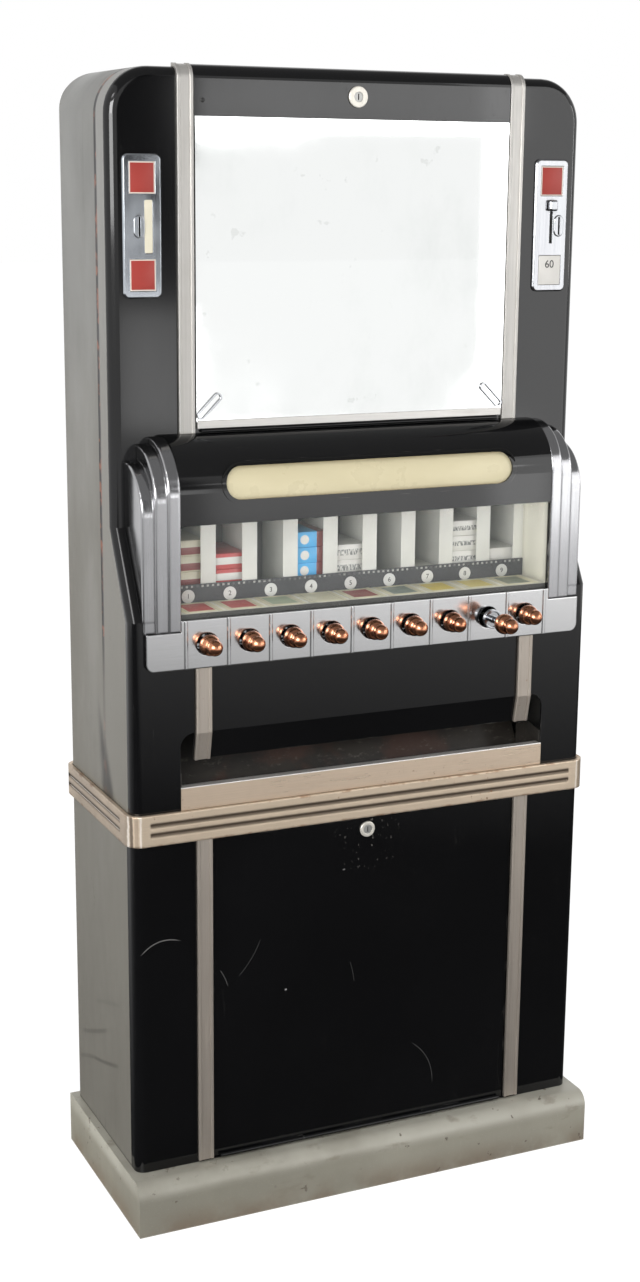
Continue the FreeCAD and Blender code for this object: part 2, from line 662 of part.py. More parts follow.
# --- Locks --------------------------------------------------------------------------------
def lock_barrel(z, face_y, skin, collar_radius):
    """Lock body through a door skin, held by its collar and a nut behind."""
    collar = rod(0, z, collar_radius, (face_y - LOCK_COLLAR_PROUD, face_y))
    collar = collar.makeFillet(LOCK_COLLAR_PROUD / 2, front_edges(collar, face_y - LOCK_COLLAR_PROUD))
    body = rod(0, z, LOCK_BODY_RADIUS, (face_y, face_y + LOCK_BODY_LENGTH))
    nut = rod(0, z, LOCK_NUT_RADIUS, (face_y + skin, face_y + skin + LOCK_NUT_THICKNESS))
    bore = rod(
        0, z, LOCK_PLUG_RADIUS + RUNNING_FIT, (face_y - THROUGH, face_y + LOCK_BODY_LENGTH))
    return collar.multiFuse([body, nut]).cut(bore).removeSplitter()


def lock_plug(z, face_y):
    """Turning plug with a keyway in front and its cam riveted on behind."""
    front = face_y - LOCK_COLLAR_PROUD + LOCK_PLUG_RECESS
    back = face_y + LOCK_BODY_LENGTH + MOVING_GAP
    plug = rod(0, z, LOCK_PLUG_RADIUS, (front, back))
    keyway = box(
        about(0, KEYWAY_WIDTH), (front - OVERSHOOT, front + KEYWAY_DEPTH), about(z, KEYWAY_HEIGHT))
    cam = pill(
        (-LOCK_CAM_WIDTH / 2, LOCK_CAM_LENGTH), (back, back + SHEET), about(z, LOCK_CAM_WIDTH))
    return plug.cut(keyway).fuse(cam).removeSplitter()


def front_edges(solid, y):
    """Edges that lie wholly in one plane facing the front."""
    return [e for e in solid.Edges if all(abs(v.Y - y) < NEAR for v in e.Vertexes)]


# --- Belt and deck ------------------------------------------------------------------------
def trim_belt():
    """Hollow aluminium belt with two grooves, stopped short of the front corners."""
    top = DECK_Z + BELT_ABOVE_DECK
    bottom = top - BELT_HEIGHT
    ring = cabinet_ring(-BELT_PROUD, 0, (bottom, top))
    hollow = cabinet_ring(
        BELT_WALL - BELT_PROUD, 0, (bottom + BELT_WALL, top - BELT_WALL))
    ring = ring.cut(hollow)
    front = FRONT_Y - BELT_PROUD
    side = HALF_WIDTH + BELT_PROUD
    middle = (top + bottom) / 2
    sink = BELT_GROOVE_RADIUS - BELT_GROOVE_DEPTH
    front_half = side - BELT_PLAIN_CORNER
    side_start = front + BELT_PLAIN_SIDE
    side_length = REAR_Y - CORNER_RADIUS - side_start
    grooves = []
    for z in about(middle, BELT_GROOVE_PITCH):
        grooves.append(pin(front - sink, z, BELT_GROOVE_RADIUS, (-front_half, front_half)))
        flank = Part.makeCylinder(
            BELT_GROOVE_RADIUS, side_length, Vector(side + sink, side_start, z), Y_AXIS)
        grooves.append(flank)
        grooves.append(mirrored(flank))
    return ring.cut(grooves)


def cabinet_deck():
    """Floor of the upper cabinet, with holes for the two coin ducts."""
    deck = cabinet_block(0, (DECK_Z - SHEET, DECK_Z))
    hole = box(
        about(DUCT_X, DUCT_WIDTH + 2 * EDGE_GAP),
        (DUCT_Y - EDGE_GAP, DUCT_Y + DUCT_DEPTH + EDGE_GAP),
        (DECK_Z - THROUGH, DECK_Z + THROUGH))
    return deck.cut(hole).cut(mirrored(hole))


# --- Upper cabinet ------------------------------------------------------------------------
def crown_outline(inset, bottom):
    """Front view of the upper cabinet: square foot and rounded top corners."""
    half = HALF_WIDTH - inset
    points = rectangle((-half, half), (bottom, TOP_Z - inset))
    crown = CROWN_RADIUS - inset
    return points, (0, 0, crown, crown)


def crown_block(inset, y_span, bottom=DECK_Z):
    """Upper cabinet space between two planes, rounded in plan at the rear corners."""
    points, crown = crown_outline(inset, bottom)
    block = front_profile(points, y_span, crown)
    return block.common(cabinet_block(inset, (bottom, TOP_Z)))


def shell_block(inset):
    """Space inside the stepped front, moved inwards: foot, shoulder and rounded top."""
    half = HALF_WIDTH - inset
    corner = CORNER_RADIUS - inset
    drop = inset * tan(SHOULDER_ANGLE / 2)
    outline = rectangle((-half, half), (FRONT_Y + inset, REAR_Y))
    radii = (corner, corner, 0, 0)
    foot_z = DECK_Z - (inset and THROUGH)
    foot = plan_face(outline, foot_z, radii).extrude(Z_AXIS * (SHOULDER_Z - drop - foot_z))
    slope = Vector(0, UPPER_SETBACK, SHOULDER_HEIGHT)
    shoulder = plan_face(outline, SHOULDER_Z - drop, radii).extrude(slope)
    points, crown = crown_outline(inset, SHOULDER_TOP_Z - drop)
    front = UPPER_FRONT_Y + inset
    top = front_profile(points, (front, REAR_Y), crown)
    rolled = [e for e in front_edges(top, front) if e.BoundBox.ZMax > SHOULDER_TOP_Z]
    top = top.makeFillet(corner, rolled)
    return foot.multiFuse([shoulder, top])


def loading_opening():
    """Opening behind the mirror door, through which the columns are filled."""
    half = MIRROR_DOOR_WIDTH / 2 - MIRROR_DOOR_LIP
    return box(
        (-half, half),
        (UPPER_FRONT_Y - THROUGH, UPPER_FRONT_Y + THROUGH / 2),
        (LOADING_BOTTOM_Z, LOADING_TOP_Z))


def window_opening():
    """Opening from the rail's top to just under the hood's top."""
    return box(
        (-WINDOW_HALF, WINDOW_HALF),
        (FRONT_Y - THROUGH, UPPER_FRONT_Y + THROUGH / 2),
        (SHOULDER_Z, HOOD_TOP_Z - HOOD_FLANGE))


def delivery_opening():
    """Opening over the tray, rounded at its upper corners."""
    points = rectangle(
        (-WINDOW_HALF, WINDOW_HALF), (DECK_Z + DELIVERY_BOTTOM, DECK_Z + DELIVERY_TOP))
    return front_profile(
        points, (FRONT_Y - THROUGH, FRONT_Y + THROUGH / 2),
        (0, 0, DELIVERY_CORNER_RADIUS, DELIVERY_CORNER_RADIUS))


def baffle_path():
    """Outer face of the front from the rail's foot down and inwards over the tray."""
    top = DECK_Z + DELIVERY_TOP
    return [(FRONT_Y, RAIL_Z), (FRONT_Y, top), (FRONT_Y + BAFFLE_DEPTH, top - BAFFLE_DROP)]


def baffle():
    """Inward flange over the tray that keeps hands out of the columns."""
    half = WINDOW_HALF - DELIVERY_CORNER_RADIUS
    return side_profile(ribbon(baffle_path(), 0, SHEET), (-half, half))


def knob_holes(y_span):
    """One clearance hole per knob."""
    return [rod(column_x(c), ROD_Z, KNOB_HOLE_RADIUS, y_span) for c in range(1, COLUMN_COUNT + 1)]


def plate_holes():
    """Holes in the shell behind the coin slits and the return slide."""
    y_span = (UPPER_FRONT_Y - OVERSHOOT, UPPER_FRONT_Y + SHEET + OVERSHOOT)
    slits = []
    for x in (PLATE_X + RIGHT_BOSS_OFFSET, -PLATE_X - LEFT_BOSS_OFFSET):
        slits.append(box(about(x, COIN_CHANNEL), y_span, about(PLATE_Z, SLIT_HEIGHT + 2 * EDGE_GAP)))
    shoe = box(
        about(SLIDE_X, SLIDE_SHOE_WIDTH + 2 * MOVING_GAP),
        y_span,
        (SLIDE_Z - SLIDE_TRAVEL - SLIDE_SHOE_HEIGHT / 2 - EDGE_GAP,
         SLIDE_Z + SLIDE_SHOE_HEIGHT / 2 + EDGE_GAP))
    return slits + [shoe]


def upper_front_shell():
    """Stepped front of the upper cabinet, wrapped round the sides and the top."""
    shell = shell_block(0).cut(shell_block(SHEET)).cut(behind(UPPER_SEAM_Y))
    openings = [loading_opening(), window_opening(), delivery_opening()]
    openings += knob_holes((FRONT_Y - OVERSHOOT, FRONT_Y + SHEET + OVERSHOOT))
    openings += plate_holes()
    return shell.cut(openings).fuse(baffle()).removeSplitter()


def upper_wrap():
    """Sides and top behind the front shell, with a flange for the rear panel."""
    back = REAR_Y - SHEET
    outer = crown_block(0, (UPPER_SEAM_Y, back))
    inner = crown_block(SHEET, (UPPER_SEAM_Y - OVERSHOOT, REAR_Y), DECK_Z - THROUGH)
    rim = crown_block(SHEET / 2, (back - SHEET, back))
    points, crown = crown_outline(SHEET + FLANGE, DECK_Z + FLANGE)
    rim = rim.cut(front_profile(points, (back - SHEET - OVERSHOOT, back + OVERSHOOT), crown))
    return outer.cut(inner).fuse(rim).removeSplitter()


def upper_rear_panel():
    """Flat rear cover with rows of ventilation slots."""
    cover = crown_block(0, (REAR_Y - SHEET, REAR_Y))
    slots = []
    for column in range(LOUVRE_COLUMNS):
        x = (column - (LOUVRE_COLUMNS - 1) / 2) * LOUVRE_PITCH_X
        for row in range(LOUVRE_ROWS):
            z = TOP_Z - LOUVRE_BELOW_TOP - row * LOUVRE_PITCH_Z
            slots.append(pill(
                about(x, LOUVRE_LENGTH), (REAR_Y - THROUGH, REAR_Y + THROUGH),
                about(z, LOUVRE_HEIGHT)))
    return cover.cut(slots)


# --- Beaded strips ------------------------------------------------------------------------
def beaded_strip(centre, outline):
    """Flat strip with a bead up each edge; outline(thickness) gives its side view and radii."""
    points, radii = outline(STRIP_THICKNESS)
    strip = side_profile(points, about(centre, STRIP_WIDTH), radii)
    points, radii = outline(STRIP_THICKNESS + STRIP_BEAD_PROUD)
    reach = (STRIP_WIDTH - STRIP_BEAD_WIDTH) / 2
    beads = [
        side_profile(points, about(x, STRIP_BEAD_WIDTH), radii)
        for x in (centre - reach, centre + reach)]
    return strip.multiFuse(beads).removeSplitter()


def lower_strip_outline(thickness):
    """Straight strip on the lower front."""
    bottom = LOWER_SILL_Z + STRIP_FOOT_GAP
    top = DECK_Z + BELT_ABOVE_DECK - BELT_HEIGHT
    return rectangle((FRONT_Y - thickness, FRONT_Y), (bottom, top)), 0


def upper_strip_outline(thickness):
    """Strip up the mirror's side, bent back over the cabinet's rolled top edge."""
    back = UPPER_FRONT_Y + MIRROR_DOOR_OVERHANG
    points = [
        (UPPER_FRONT_Y - thickness, HOOD_TOP_Z),
        (UPPER_FRONT_Y, HOOD_TOP_Z),
        (UPPER_FRONT_Y, TOP_Z),
        (back, TOP_Z),
        (back, TOP_Z + thickness),
        (UPPER_FRONT_Y - thickness, TOP_Z + thickness),
    ]
    return points, (0, 0, CORNER_RADIUS, 0, 0, CORNER_RADIUS + thickness)


def delivery_strip_outline(thickness):
    """Strip from the rail's foot down to the tray, folded in with the baffle."""
    return ribbon(baffle_path(), 0, -thickness), 0


# --- Mirror door --------------------------------------------------------------------------
def header_outline():
    """Side view of the door's header, bent back over the cabinet's top edge."""
    gap = MOVING_GAP
    back = UPPER_FRONT_Y + MIRROR_DOOR_OVERHANG
    top = TOP_Z + MIRROR_DOOR_PROUD
    points = [
        (DOOR_FACE_Y, MIRROR_TOP_Z),
        (DOOR_BACK_Y, MIRROR_TOP_Z),
        (DOOR_BACK_Y, TOP_Z + gap),
        (back, TOP_Z + gap),
        (back, top),
        (DOOR_FACE_Y, top),
    ]
    return points, (0, 0, CORNER_RADIUS + gap, 0, 0, HEADER_RADIUS)


def mirror_door():
    """Door carrying the mirror: header, backing plate, stiffening ring and knuckles."""
    half = MIRROR_DOOR_WIDTH / 2
    points, radii = header_outline()
    header = side_profile(points, (-half, half), radii)
    plate_bottom = UPPER_HINGE_Z + UPPER_PLATE_RISE
    plate = box((-half, half), (MIRROR_BACK_Y, DOOR_BACK_Y), (plate_bottom, MIRROR_TOP_Z))
    ring_half = half - MIRROR_DOOR_LIP - REVEAL
    ring_y = (DOOR_BACK_Y, DOOR_BACK_Y + DOOR_RING_DEPTH)
    ring_z = (LOADING_BOTTOM_Z + 2 * REVEAL, TOP_Z - DOOR_RING_TOP_MARGIN)
    ring = box((-ring_half, ring_half), ring_y, ring_z)
    ring = ring.cut(box(
        (-ring_half + SHEET, ring_half - SHEET), ring_y, (ring_z[0] + SHEET, ring_z[1] - SHEET)))
    knuckles = []
    for span in knuckle_spans(hinge_half_length(MIRROR_DOOR_WIDTH))[1::2]:
        knuckles.append(pin(UPPER_HINGE_Y, UPPER_HINGE_Z, UPPER_KNUCKLE_RADIUS, span))
        knuckles.append(
            box(span, (UPPER_HINGE_Y, DOOR_BACK_Y),
                (plate_bottom, UPPER_HINGE_Z + UPPER_KNUCKLE_RADIUS)))
    bore = pin(
        UPPER_HINGE_Y, UPPER_HINGE_Z, UPPER_HINGE_PIN_RADIUS + RUNNING_FIT, (-half, half))
    lock_hole = rod(
        0, UPPER_LOCK_Z, LOCK_BODY_RADIUS, (DOOR_FACE_Y - OVERSHOOT, DOOR_BACK_Y + OVERSHOOT))
    door = header.multiFuse([plate, ring] + knuckles)
    return door.cut(bore).cut(lock_hole).removeSplitter()


def mirror_glass():
    """Silvered mirror standing on the door's bottom trim."""
    half = MIRROR_DOOR_WIDTH / 2 - MIRROR_SIDE_MARGIN
    return box((-half, half), (MIRROR_FRONT_Y, MIRROR_BACK_Y), (MIRROR_Z, MIRROR_TOP_Z))


def mirror_trim():
    """Channel under the mirror with a lip over its lower edge."""
    half = MIRROR_DOOR_WIDTH / 2 - 2 * MIRROR_SIDE_MARGIN
    front = MIRROR_FRONT_Y - MIRROR_TRIM_LIP
    bar = box((-half, half), (front, MIRROR_BACK_Y), (MIRROR_TRIM_Z, MIRROR_Z))
    lip = box((-half, half), (front, MIRROR_FRONT_Y), (MIRROR_Z, MIRROR_Z + MIRROR_TRIM_LIP))
    return bar.fuse(lip).removeSplitter()


def mirror_clip():
    """Wire loop lying at 45 degrees over the mirror's lower corner."""
    y_span = (MIRROR_FRONT_Y - CLIP_WIRE, MIRROR_FRONT_Y)
    loop = pill((0, CLIP_LENGTH), y_span, about(0, CLIP_WIDTH))
    hole = pill(
        (CLIP_WIRE, CLIP_LENGTH - CLIP_WIRE), (y_span[0] - OVERSHOOT, y_span[1] + OVERSHOOT),
        about(0, CLIP_WIDTH - 2 * CLIP_WIRE))
    clip = loop.cut(hole)
    clip.rotate(Vector(0, 0, 0), Y_AXIS, -135)
    clip.translate(Vector(
        MIRROR_DOOR_WIDTH / 2 - CLIP_INSET, 0, MIRROR_Z + MIRROR_TRIM_LIP + CLIP_INSET))
    return clip


def mirror_door_hinge():
    """Fixed leaf on the shell with its knuckles and the hinge pin."""
    half = hinge_half_length(MIRROR_DOOR_WIDTH)
    foot = UPPER_HINGE_Z - UPPER_KNUCKLE_RADIUS
    pieces = [pin(UPPER_HINGE_Y, UPPER_HINGE_Z, UPPER_HINGE_PIN_RADIUS, (-half, half))]
    for span in knuckle_spans(half)[0::2]:
        pieces.append(pin(UPPER_HINGE_Y, UPPER_HINGE_Z, UPPER_KNUCKLE_RADIUS, span))
        pieces.append(box(span, (UPPER_HINGE_Y, UPPER_FRONT_Y), (foot, foot + LEAF)))
    leaf = box(
        (-half, half), (UPPER_FRONT_Y - LEAF, UPPER_FRONT_Y), (foot, UPPER_HINGE_Z + UPPER_LEAF_RISE))
    return leaf.multiFuse(pieces).removeSplitter()


# --- Hood, sign and pilasters -------------------------------------------------------------
def hood_block(inset, x_span):
    """Quarter-round hood over the window, moved inwards."""
    front = HOOD_FRONT_Y + inset
    top = HOOD_TOP_Z - inset
    radius = UPPER_FRONT_Y - HOOD_FRONT_Y - HOOD_FLAT - inset
    points = rectangle((front, UPPER_FRONT_Y), (HOOD_BOTTOM_Z, top))
    return side_profile(points, x_span, (0, 0, 0, radius))


def sign_pill(grow, y_span):
    """Long rounded sign outline, grown all round."""
    z = HOOD_BOTTOM_Z + SIGN_ABOVE_HOOD_BOTTOM
    return pill(
        about(0, SIGN_WIDTH + 2 * grow), y_span, about(z, SIGN_HEIGHT + 2 * grow))


def hood():
    """Formed hood with the sign opening, its raised rim and folded edges."""
    x_span = (-WINDOW_HALF, WINDOW_HALF)
    front_zone = (HOOD_FRONT_Y - THROUGH, UPPER_FRONT_Y - SHEET)
    cover = hood_block(0, x_span).cut(hood_block(SHEET, x_span))
    rim_zone = sign_pill(SIGN_RIM, front_zone).cut(sign_pill(0, front_zone))
    rim = hood_block(-SIGN_RIM_PROUD, x_span).cut(hood_block(SHEET, x_span)).common(rim_zone)
    lip = box(
        x_span, (HOOD_FRONT_Y + SHEET, FRONT_Y - GLASS_PROUD), (HOOD_BOTTOM_Z, HOOD_BOTTOM_Z + SHEET))
    flange = box(
        x_span, (UPPER_FRONT_Y - SHEET, UPPER_FRONT_Y), (HOOD_TOP_Z - HOOD_FLANGE, HOOD_TOP_Z - HOOD_FLAT))
    cover = cover.cut(sign_pill(0, front_zone))
    return cover.multiFuse([rim, lip, flange]).removeSplitter()


def sign_insert():
    """Translucent curved panel behind the sign opening."""
    x_span = (-WINDOW_HALF, WINDOW_HALF)
    sheet = hood_block(SHEET, x_span).cut(hood_block(SHEET + SIGN_THICKNESS, x_span))
    return sheet.common(sign_pill(SIGN_RIM, (HOOD_FRONT_Y, UPPER_FRONT_Y - SHEET)))


def shell_face_y(z):
    """Y of the shell's outer face at a height on or beside the shoulder."""
    rise = min(max((z - SHOULDER_Z) / SHOULDER_HEIGHT, 0.0), 1.0)
    return FRONT_Y + rise * UPPER_SETBACK


def pilaster_bar(front, top, bottom, x_span):
    """Bar standing on the shell's stepped face, curving back to it at the top."""
    radius = UPPER_FRONT_Y - front - HOOD_FLAT
    points = [
        (front, top),
        (UPPER_FRONT_Y, top),
        (UPPER_FRONT_Y, SHOULDER_TOP_Z),
        (shell_face_y(bottom), bottom),
        (front, bottom),
    ]
    if bottom < SHOULDER_Z:
        points.insert(3, (FRONT_Y, SHOULDER_Z))
    return side_profile(points, x_span, [radius] + [0] * (len(points) - 1))


def pilaster():
    """Right pilaster: three stepped ribs, hollowed from behind."""
    foot = SHOULDER_Z - RAIL_END_DROP
    rib_width = PILASTER_WIDTH / len(PILASTER_RIB_FRONTS)
    ribs = []
    for i, (proud, top) in enumerate(zip(PILASTER_RIB_FRONTS, PILASTER_RIB_TOPS)):
        x = WINDOW_HALF + i * rib_width
        rib = pilaster_bar(FRONT_Y - proud, DECK_Z + top, foot, (x, x + rib_width))
        ribs.append(round_rib(rib, x + rib_width, FRONT_Y - proud))
    body = ribs[0].multiFuse(ribs[1:])
    lowest = PILASTER_RIB_TOPS[-1] - PILASTER_WALL
    hollow = pilaster_bar(
        FRONT_Y - PILASTER_RIB_FRONTS[-1] + PILASTER_WALL,
        DECK_Z + lowest,
        foot + PILASTER_SOLID_FOOT,
        (WINDOW_HALF + PILASTER_WALL, WINDOW_HALF + PILASTER_WIDTH - PILASTER_WALL))
    return body.cut(hollow).removeSplitter()


def round_rib(rib, outer_x, front):
    """Roll the outer front edge of a rib, along its face and its curved top."""
    edges = []
    for edge in rib.Edges:
        points = [v.Point for v in edge.Vertexes]
        on_side = all(abs(p.x - outer_x) < NEAR for p in points)
        at_face = all(abs(p.y - front) < NEAR for p in points)
        curved = edge.Curve.TypeId == "Part::GeomCircle"
        if on_side and (at_face or curved):
            edges.append(edge)
    return rib.makeFillet(PILASTER_EDGE_RADIUS, edges)


# --- Knob rail and window -----------------------------------------------------------------
def rail_outline(inset):
    """Front view of the rail, lower at its ends under the pilasters."""
    half = RAIL_HALF_WIDTH - inset
    step = WINDOW_HALF - inset
    bottom = RAIL_Z + inset
    end_top = SHOULDER_Z - RAIL_END_DROP - inset
    top = SHOULDER_Z - inset
    points = [
        (-half, bottom), (half, bottom), (half, end_top), (step, end_top),
        (step, top), (-step, top), (-step, end_top), (-half, end_top),
    ]
    corner = RAIL_CORNER_RADIUS - inset
    return points, (corner, corner, 0, 0, 0, 0, 0, 0)


def knob_rail():
    """Polished channel that carries the nine knob holes, ribbed between them."""
    points, radii = rail_outline(0)
    rail = front_profile(points, (RAIL_FRONT_Y, FRONT_Y), radii)
    points, radii = rail_outline(RAIL_WALL)
    rail = rail.cut(front_profile(points, (RAIL_FRONT_Y + RAIL_WALL, FRONT_Y), radii))
    ribs = []
    bosses = []
    for i in range(COLUMN_COUNT + 1):
        x = (i - COLUMN_COUNT / 2) * COLUMN_PITCH
        ribs.append(box(
            about(x, RAIL_RIB_WIDTH), (RAIL_FRONT_Y - RAIL_RIB_PROUD, RAIL_FRONT_Y),
            (RAIL_Z, SHOULDER_Z)))
    for column in range(1, COLUMN_COUNT + 1):
        bosses.append(rod(
            column_x(column), ROD_Z, KNOB_HOLE_RADIUS + RAIL_WALL, (RAIL_FRONT_Y, FRONT_Y)))
    rail = rail.multiFuse(ribs + bosses)
    return rail.cut(knob_holes((RAIL_FRONT_Y - THROUGH, FRONT_Y + OVERSHOOT))).removeSplitter()


def window_glass():
    """Glass standing on the rail behind the hood's lip."""
    front = FRONT_Y - GLASS_PROUD
    half = WINDOW_HALF - THIN_SHEET - MOVING_GAP
    return box(
        (-half, half), (front, front + GLASS_THICKNESS), (SHOULDER_Z, SHOULDER_Z + GLASS_HEIGHT))


def window_liner():
    """Cream liner: card shelf, front skirt behind the shell and both side walls."""
    x_span = (-WINDOW_HALF, WINDOW_HALF)
    front = FRONT_Y + SHEET + MOVING_GAP
    back = LIP_FRONT_Y
    shelf = box(x_span, (front, back - SHEET), (SHELF_Z - THIN_SHEET, SHELF_Z))
    skirt = box(x_span, (front, front + THIN_SHEET), (SHOULDER_Z - LINER_SKIRT, SHELF_Z))
    wall = box(
        (WINDOW_HALF - THIN_SHEET, WINDOW_HALF), (front, back),
        (SHOULDER_Z, HOOD_TOP_Z - LINER_TOP_MARGIN))
    return shelf.multiFuse([skirt, wall, mirrored(wall)]).removeSplitter()


def label_cards():
    """One product card per column, lying on the shelf."""
    cards = []
    centre_y = (FRONT_Y + SHEET + LIP_FRONT_Y - SHEET) / 2
    for column in range(1, COLUMN_COUNT + 1):
        cards.append(box(
            about(column_x(column), CARD_WIDTH), about(centre_y, CARD_LENGTH),
            (SHELF_Z, SHELF_Z + CARD_THICKNESS)))
    return group(cards)


def disc_strip():
    """Dark strip across the column fronts, above the delivery gap."""
    half = WINDOW_HALF - THIN_SHEET
    return box(
        (-half, half), (LIP_FRONT_Y - SHEET, LIP_FRONT_Y),
        (DISC_STRIP_Z, DISC_STRIP_Z + DISC_STRIP_HEIGHT))


def price_discs():
    """Round white discs on the strip, one per column."""
    z = SHELF_Z + DISC_RADIUS
    face = LIP_FRONT_Y - SHEET
    return group([
        rod(column_x(c), z, DISC_RADIUS, (face - DISC_THICKNESS, face))
        for c in range(1, COLUMN_COUNT + 1)])


# --- Magazine and slides ------------------------------------------------------------------
def column_divider(x):
    """Wall between columns: web, front lip, pack ledges and slide runners."""
    web_front = LIP_FRONT_Y + THIN_SHEET
    top = LEDGE_Z + MAGAZINE_HEIGHT
    web = box(about(x, SHEET), (web_front, BULKHEAD_Y), (RUNNER_Z - SHEET, top))
    lip = box(about(x, LIP_WIDTH), (LIP_FRONT_Y, web_front), (DISC_STRIP_Z, top))
    inner_y = (web_front + LEDGE_SETBACK, BULKHEAD_Y)
    ledge = box(about(x, SHEET + 2 * LEDGE_WIDTH), inner_y, (LEDGE_Z - SHEET, LEDGE_Z))
    runner = box(about(x, SHEET + 2 * RUNNER_WIDTH), inner_y, (RUNNER_Z - SHEET, RUNNER_Z))
    return web.multiFuse([lip, ledge, runner]).removeSplitter()


def column_dividers():
    """All the walls of the magazine."""
    return group([
        column_divider((i - COLUMN_COUNT / 2) * COLUMN_PITCH) for i in range(COLUMN_COUNT + 1)])


def magazine_back():
    """Bulkhead behind the columns, standing on the deck."""
    half = HALF_WIDTH - SHEET - BULKHEAD_MARGIN
    top = LEDGE_Z + MAGAZINE_HEIGHT + BULKHEAD_MARGIN
    return box((-half, half), (BULKHEAD_Y, BULKHEAD_Y + SHEET), (DECK_Z, top))


def stocked_packs():
    """The packs left in each column, stacked on its ledges."""
    packs = []
    for column, count in enumerate(STACK_COUNTS, start=1):
        for level in range(count):
            z = LEDGE_Z + level * PACK_HEIGHT
            packs.append(box(
                about(column_x(column), PACK_WIDTH),
                (PACK_FRONT_Y, PACK_FRONT_Y + PACK_LENGTH), (z, z + PACK_HEIGHT)))
    return group(packs)


def pull_knob(column):
    """Double-lobed knob with a flat back and a blind bore for the stem."""
    x = column_x(column)
    ball_y = BALL_Y - pulled(column)
    ball = Part.makeSphere(KNOB_BALL_RADIUS, Vector(x, ball_y, ROD_Z))
    nose = Part.makeSphere(KNOB_NOSE_RADIUS, Vector(x, ball_y - KNOB_NOSE_OFFSET, ROD_Z))
    back = rod(
        x, ROD_Z, KNOB_BALL_RADIUS + OVERSHOOT, (ball_y + KNOB_BACK_OFFSET, ball_y + THROUGH))
    bore_front = ball_y + KNOB_BACK_OFFSET - KNOB_BORE_DEPTH
    bore = rod(x, ROD_Z, STEM_RADIUS, (bore_front, ball_y + THROUGH))
    return ball.fuse(nose).cut(back).cut(bore)


def ejector_slide(column):
    """Stem, dished collar and rod riveted to a U-shaped slide with its pusher."""
    x = column_x(column)
    collar_y = BALL_Y + COLLAR_OFFSET
    stem_front = BALL_Y + KNOB_BACK_OFFSET - KNOB_BORE_DEPTH
    stem = rod(x, ROD_Z, STEM_RADIUS, (stem_front, collar_y + COLLAR_LENGTH))
    collar = rod(x, ROD_Z, COLLAR_RADIUS, (collar_y, collar_y + COLLAR_LENGTH))
    dish = rod(x, ROD_Z, COLLAR_RADIUS - COLLAR_RIM, (collar_y - OVERSHOOT, collar_y + COLLAR_DISH))
    shaft = rod(x, ROD_Z, ROD_RADIUS, (collar_y + COLLAR_LENGTH, CROSSBAR_Y + THIN_SHEET))
    half = PACK_WIDTH / 2 + ARM_CLEARANCE + ARM_THICKNESS
    bottom = RUNNER_Z + MOVING_GAP
    rear = PACK_FRONT_Y + PACK_LENGTH + PUSHER_BEHIND_PACK
    crossbar = box(
        (x - half, x + half), (CROSSBAR_Y, CROSSBAR_Y + THIN_SHEET),
        (bottom, bottom + CROSSBAR_HEIGHT))
    pusher = box(
        (x - half, x + half), (rear - THIN_SHEET, rear), (bottom, bottom + ARM_HEIGHT))
    lug = box(
        about(x, PUSHER_WIDTH), (rear - THIN_SHEET, rear), (bottom, LEDGE_Z - SHEET - MOVING_GAP))
    arms = []
    for inner in (x - half, x + half - ARM_THICKNESS):
        arms.append(box(
            (inner, inner + ARM_THICKNESS), (CROSSBAR_Y, rear), (bottom, bottom + ARM_HEIGHT)))
    slide = collar.cut(dish).multiFuse([stem, shaft, crossbar, pusher, lug] + arms)
    slide = slide.removeSplitter()
    slide.translate(Vector(0, -pulled(column), 0))
    return slide


# --- Delivery tray ------------------------------------------------------------------------
def tray_path():
    """Side view of the tray's upper face, from its front edge back and up."""
    front = FRONT_Y + SHEET
    floor_back = front + TRAY_FLOOR_BACK
    floor_z = DECK_Z + TRAY_FLOOR_CLEAR
    return [
        (front, floor_z + TRAY_FLOOR_RISE),
        (floor_back, floor_z),
        (BULKHEAD_Y, floor_z + TRAY_WALL_HEIGHT),
    ]


def delivery_tray():
    """Chute and tray in one folded sheet between two cheeks that stand on the deck."""
    half = WINDOW_HALF
    path = tray_path()
    sheet = side_profile(ribbon(path, 0, -THIN_SHEET), (-half, half))
    sheet = sheet.cut(behind(BULKHEAD_Y))
    front = path[0][0]
    back = path[1][0]
    middle = (front + back) / 2
    crest = DECK_Z + CHEEK_HEIGHT
    cheek = side_profile(
        [(front, DECK_Z), (back, DECK_Z), (back, crest - CHEEK_CROWN), (middle, crest + CHEEK_CROWN),
         (front, crest)],
        (WINDOW_HALF - CHEEK_THICKNESS, WINDOW_HALF))
    blocked = box((-half, half), (FRONT_Y - THROUGH, front), (DECK_Z, TOP_Z))
    return sheet.multiFuse([cheek, mirrored(cheek)]).cut(blocked).removeSplitter()


def tray_lip():
    """Bright angle over the front edge of the delivery opening."""
    x_span = (-WINDOW_HALF, WINDOW_HALF)
    top = DECK_Z + DELIVERY_BOTTOM
    face = box(
        x_span, (FRONT_Y - LIP_PLATE, FRONT_Y), (DECK_Z + BELT_ABOVE_DECK, top + LIP_PLATE))
    fold_half = WINDOW_HALF - CHEEK_THICKNESS
    fold = box(
        (-fold_half, fold_half), (FRONT_Y - LIP_PLATE, FRONT_Y + LIP_RETURN),
        (top, top + LIP_PLATE))
    return face.fuse(fold).removeSplitter()


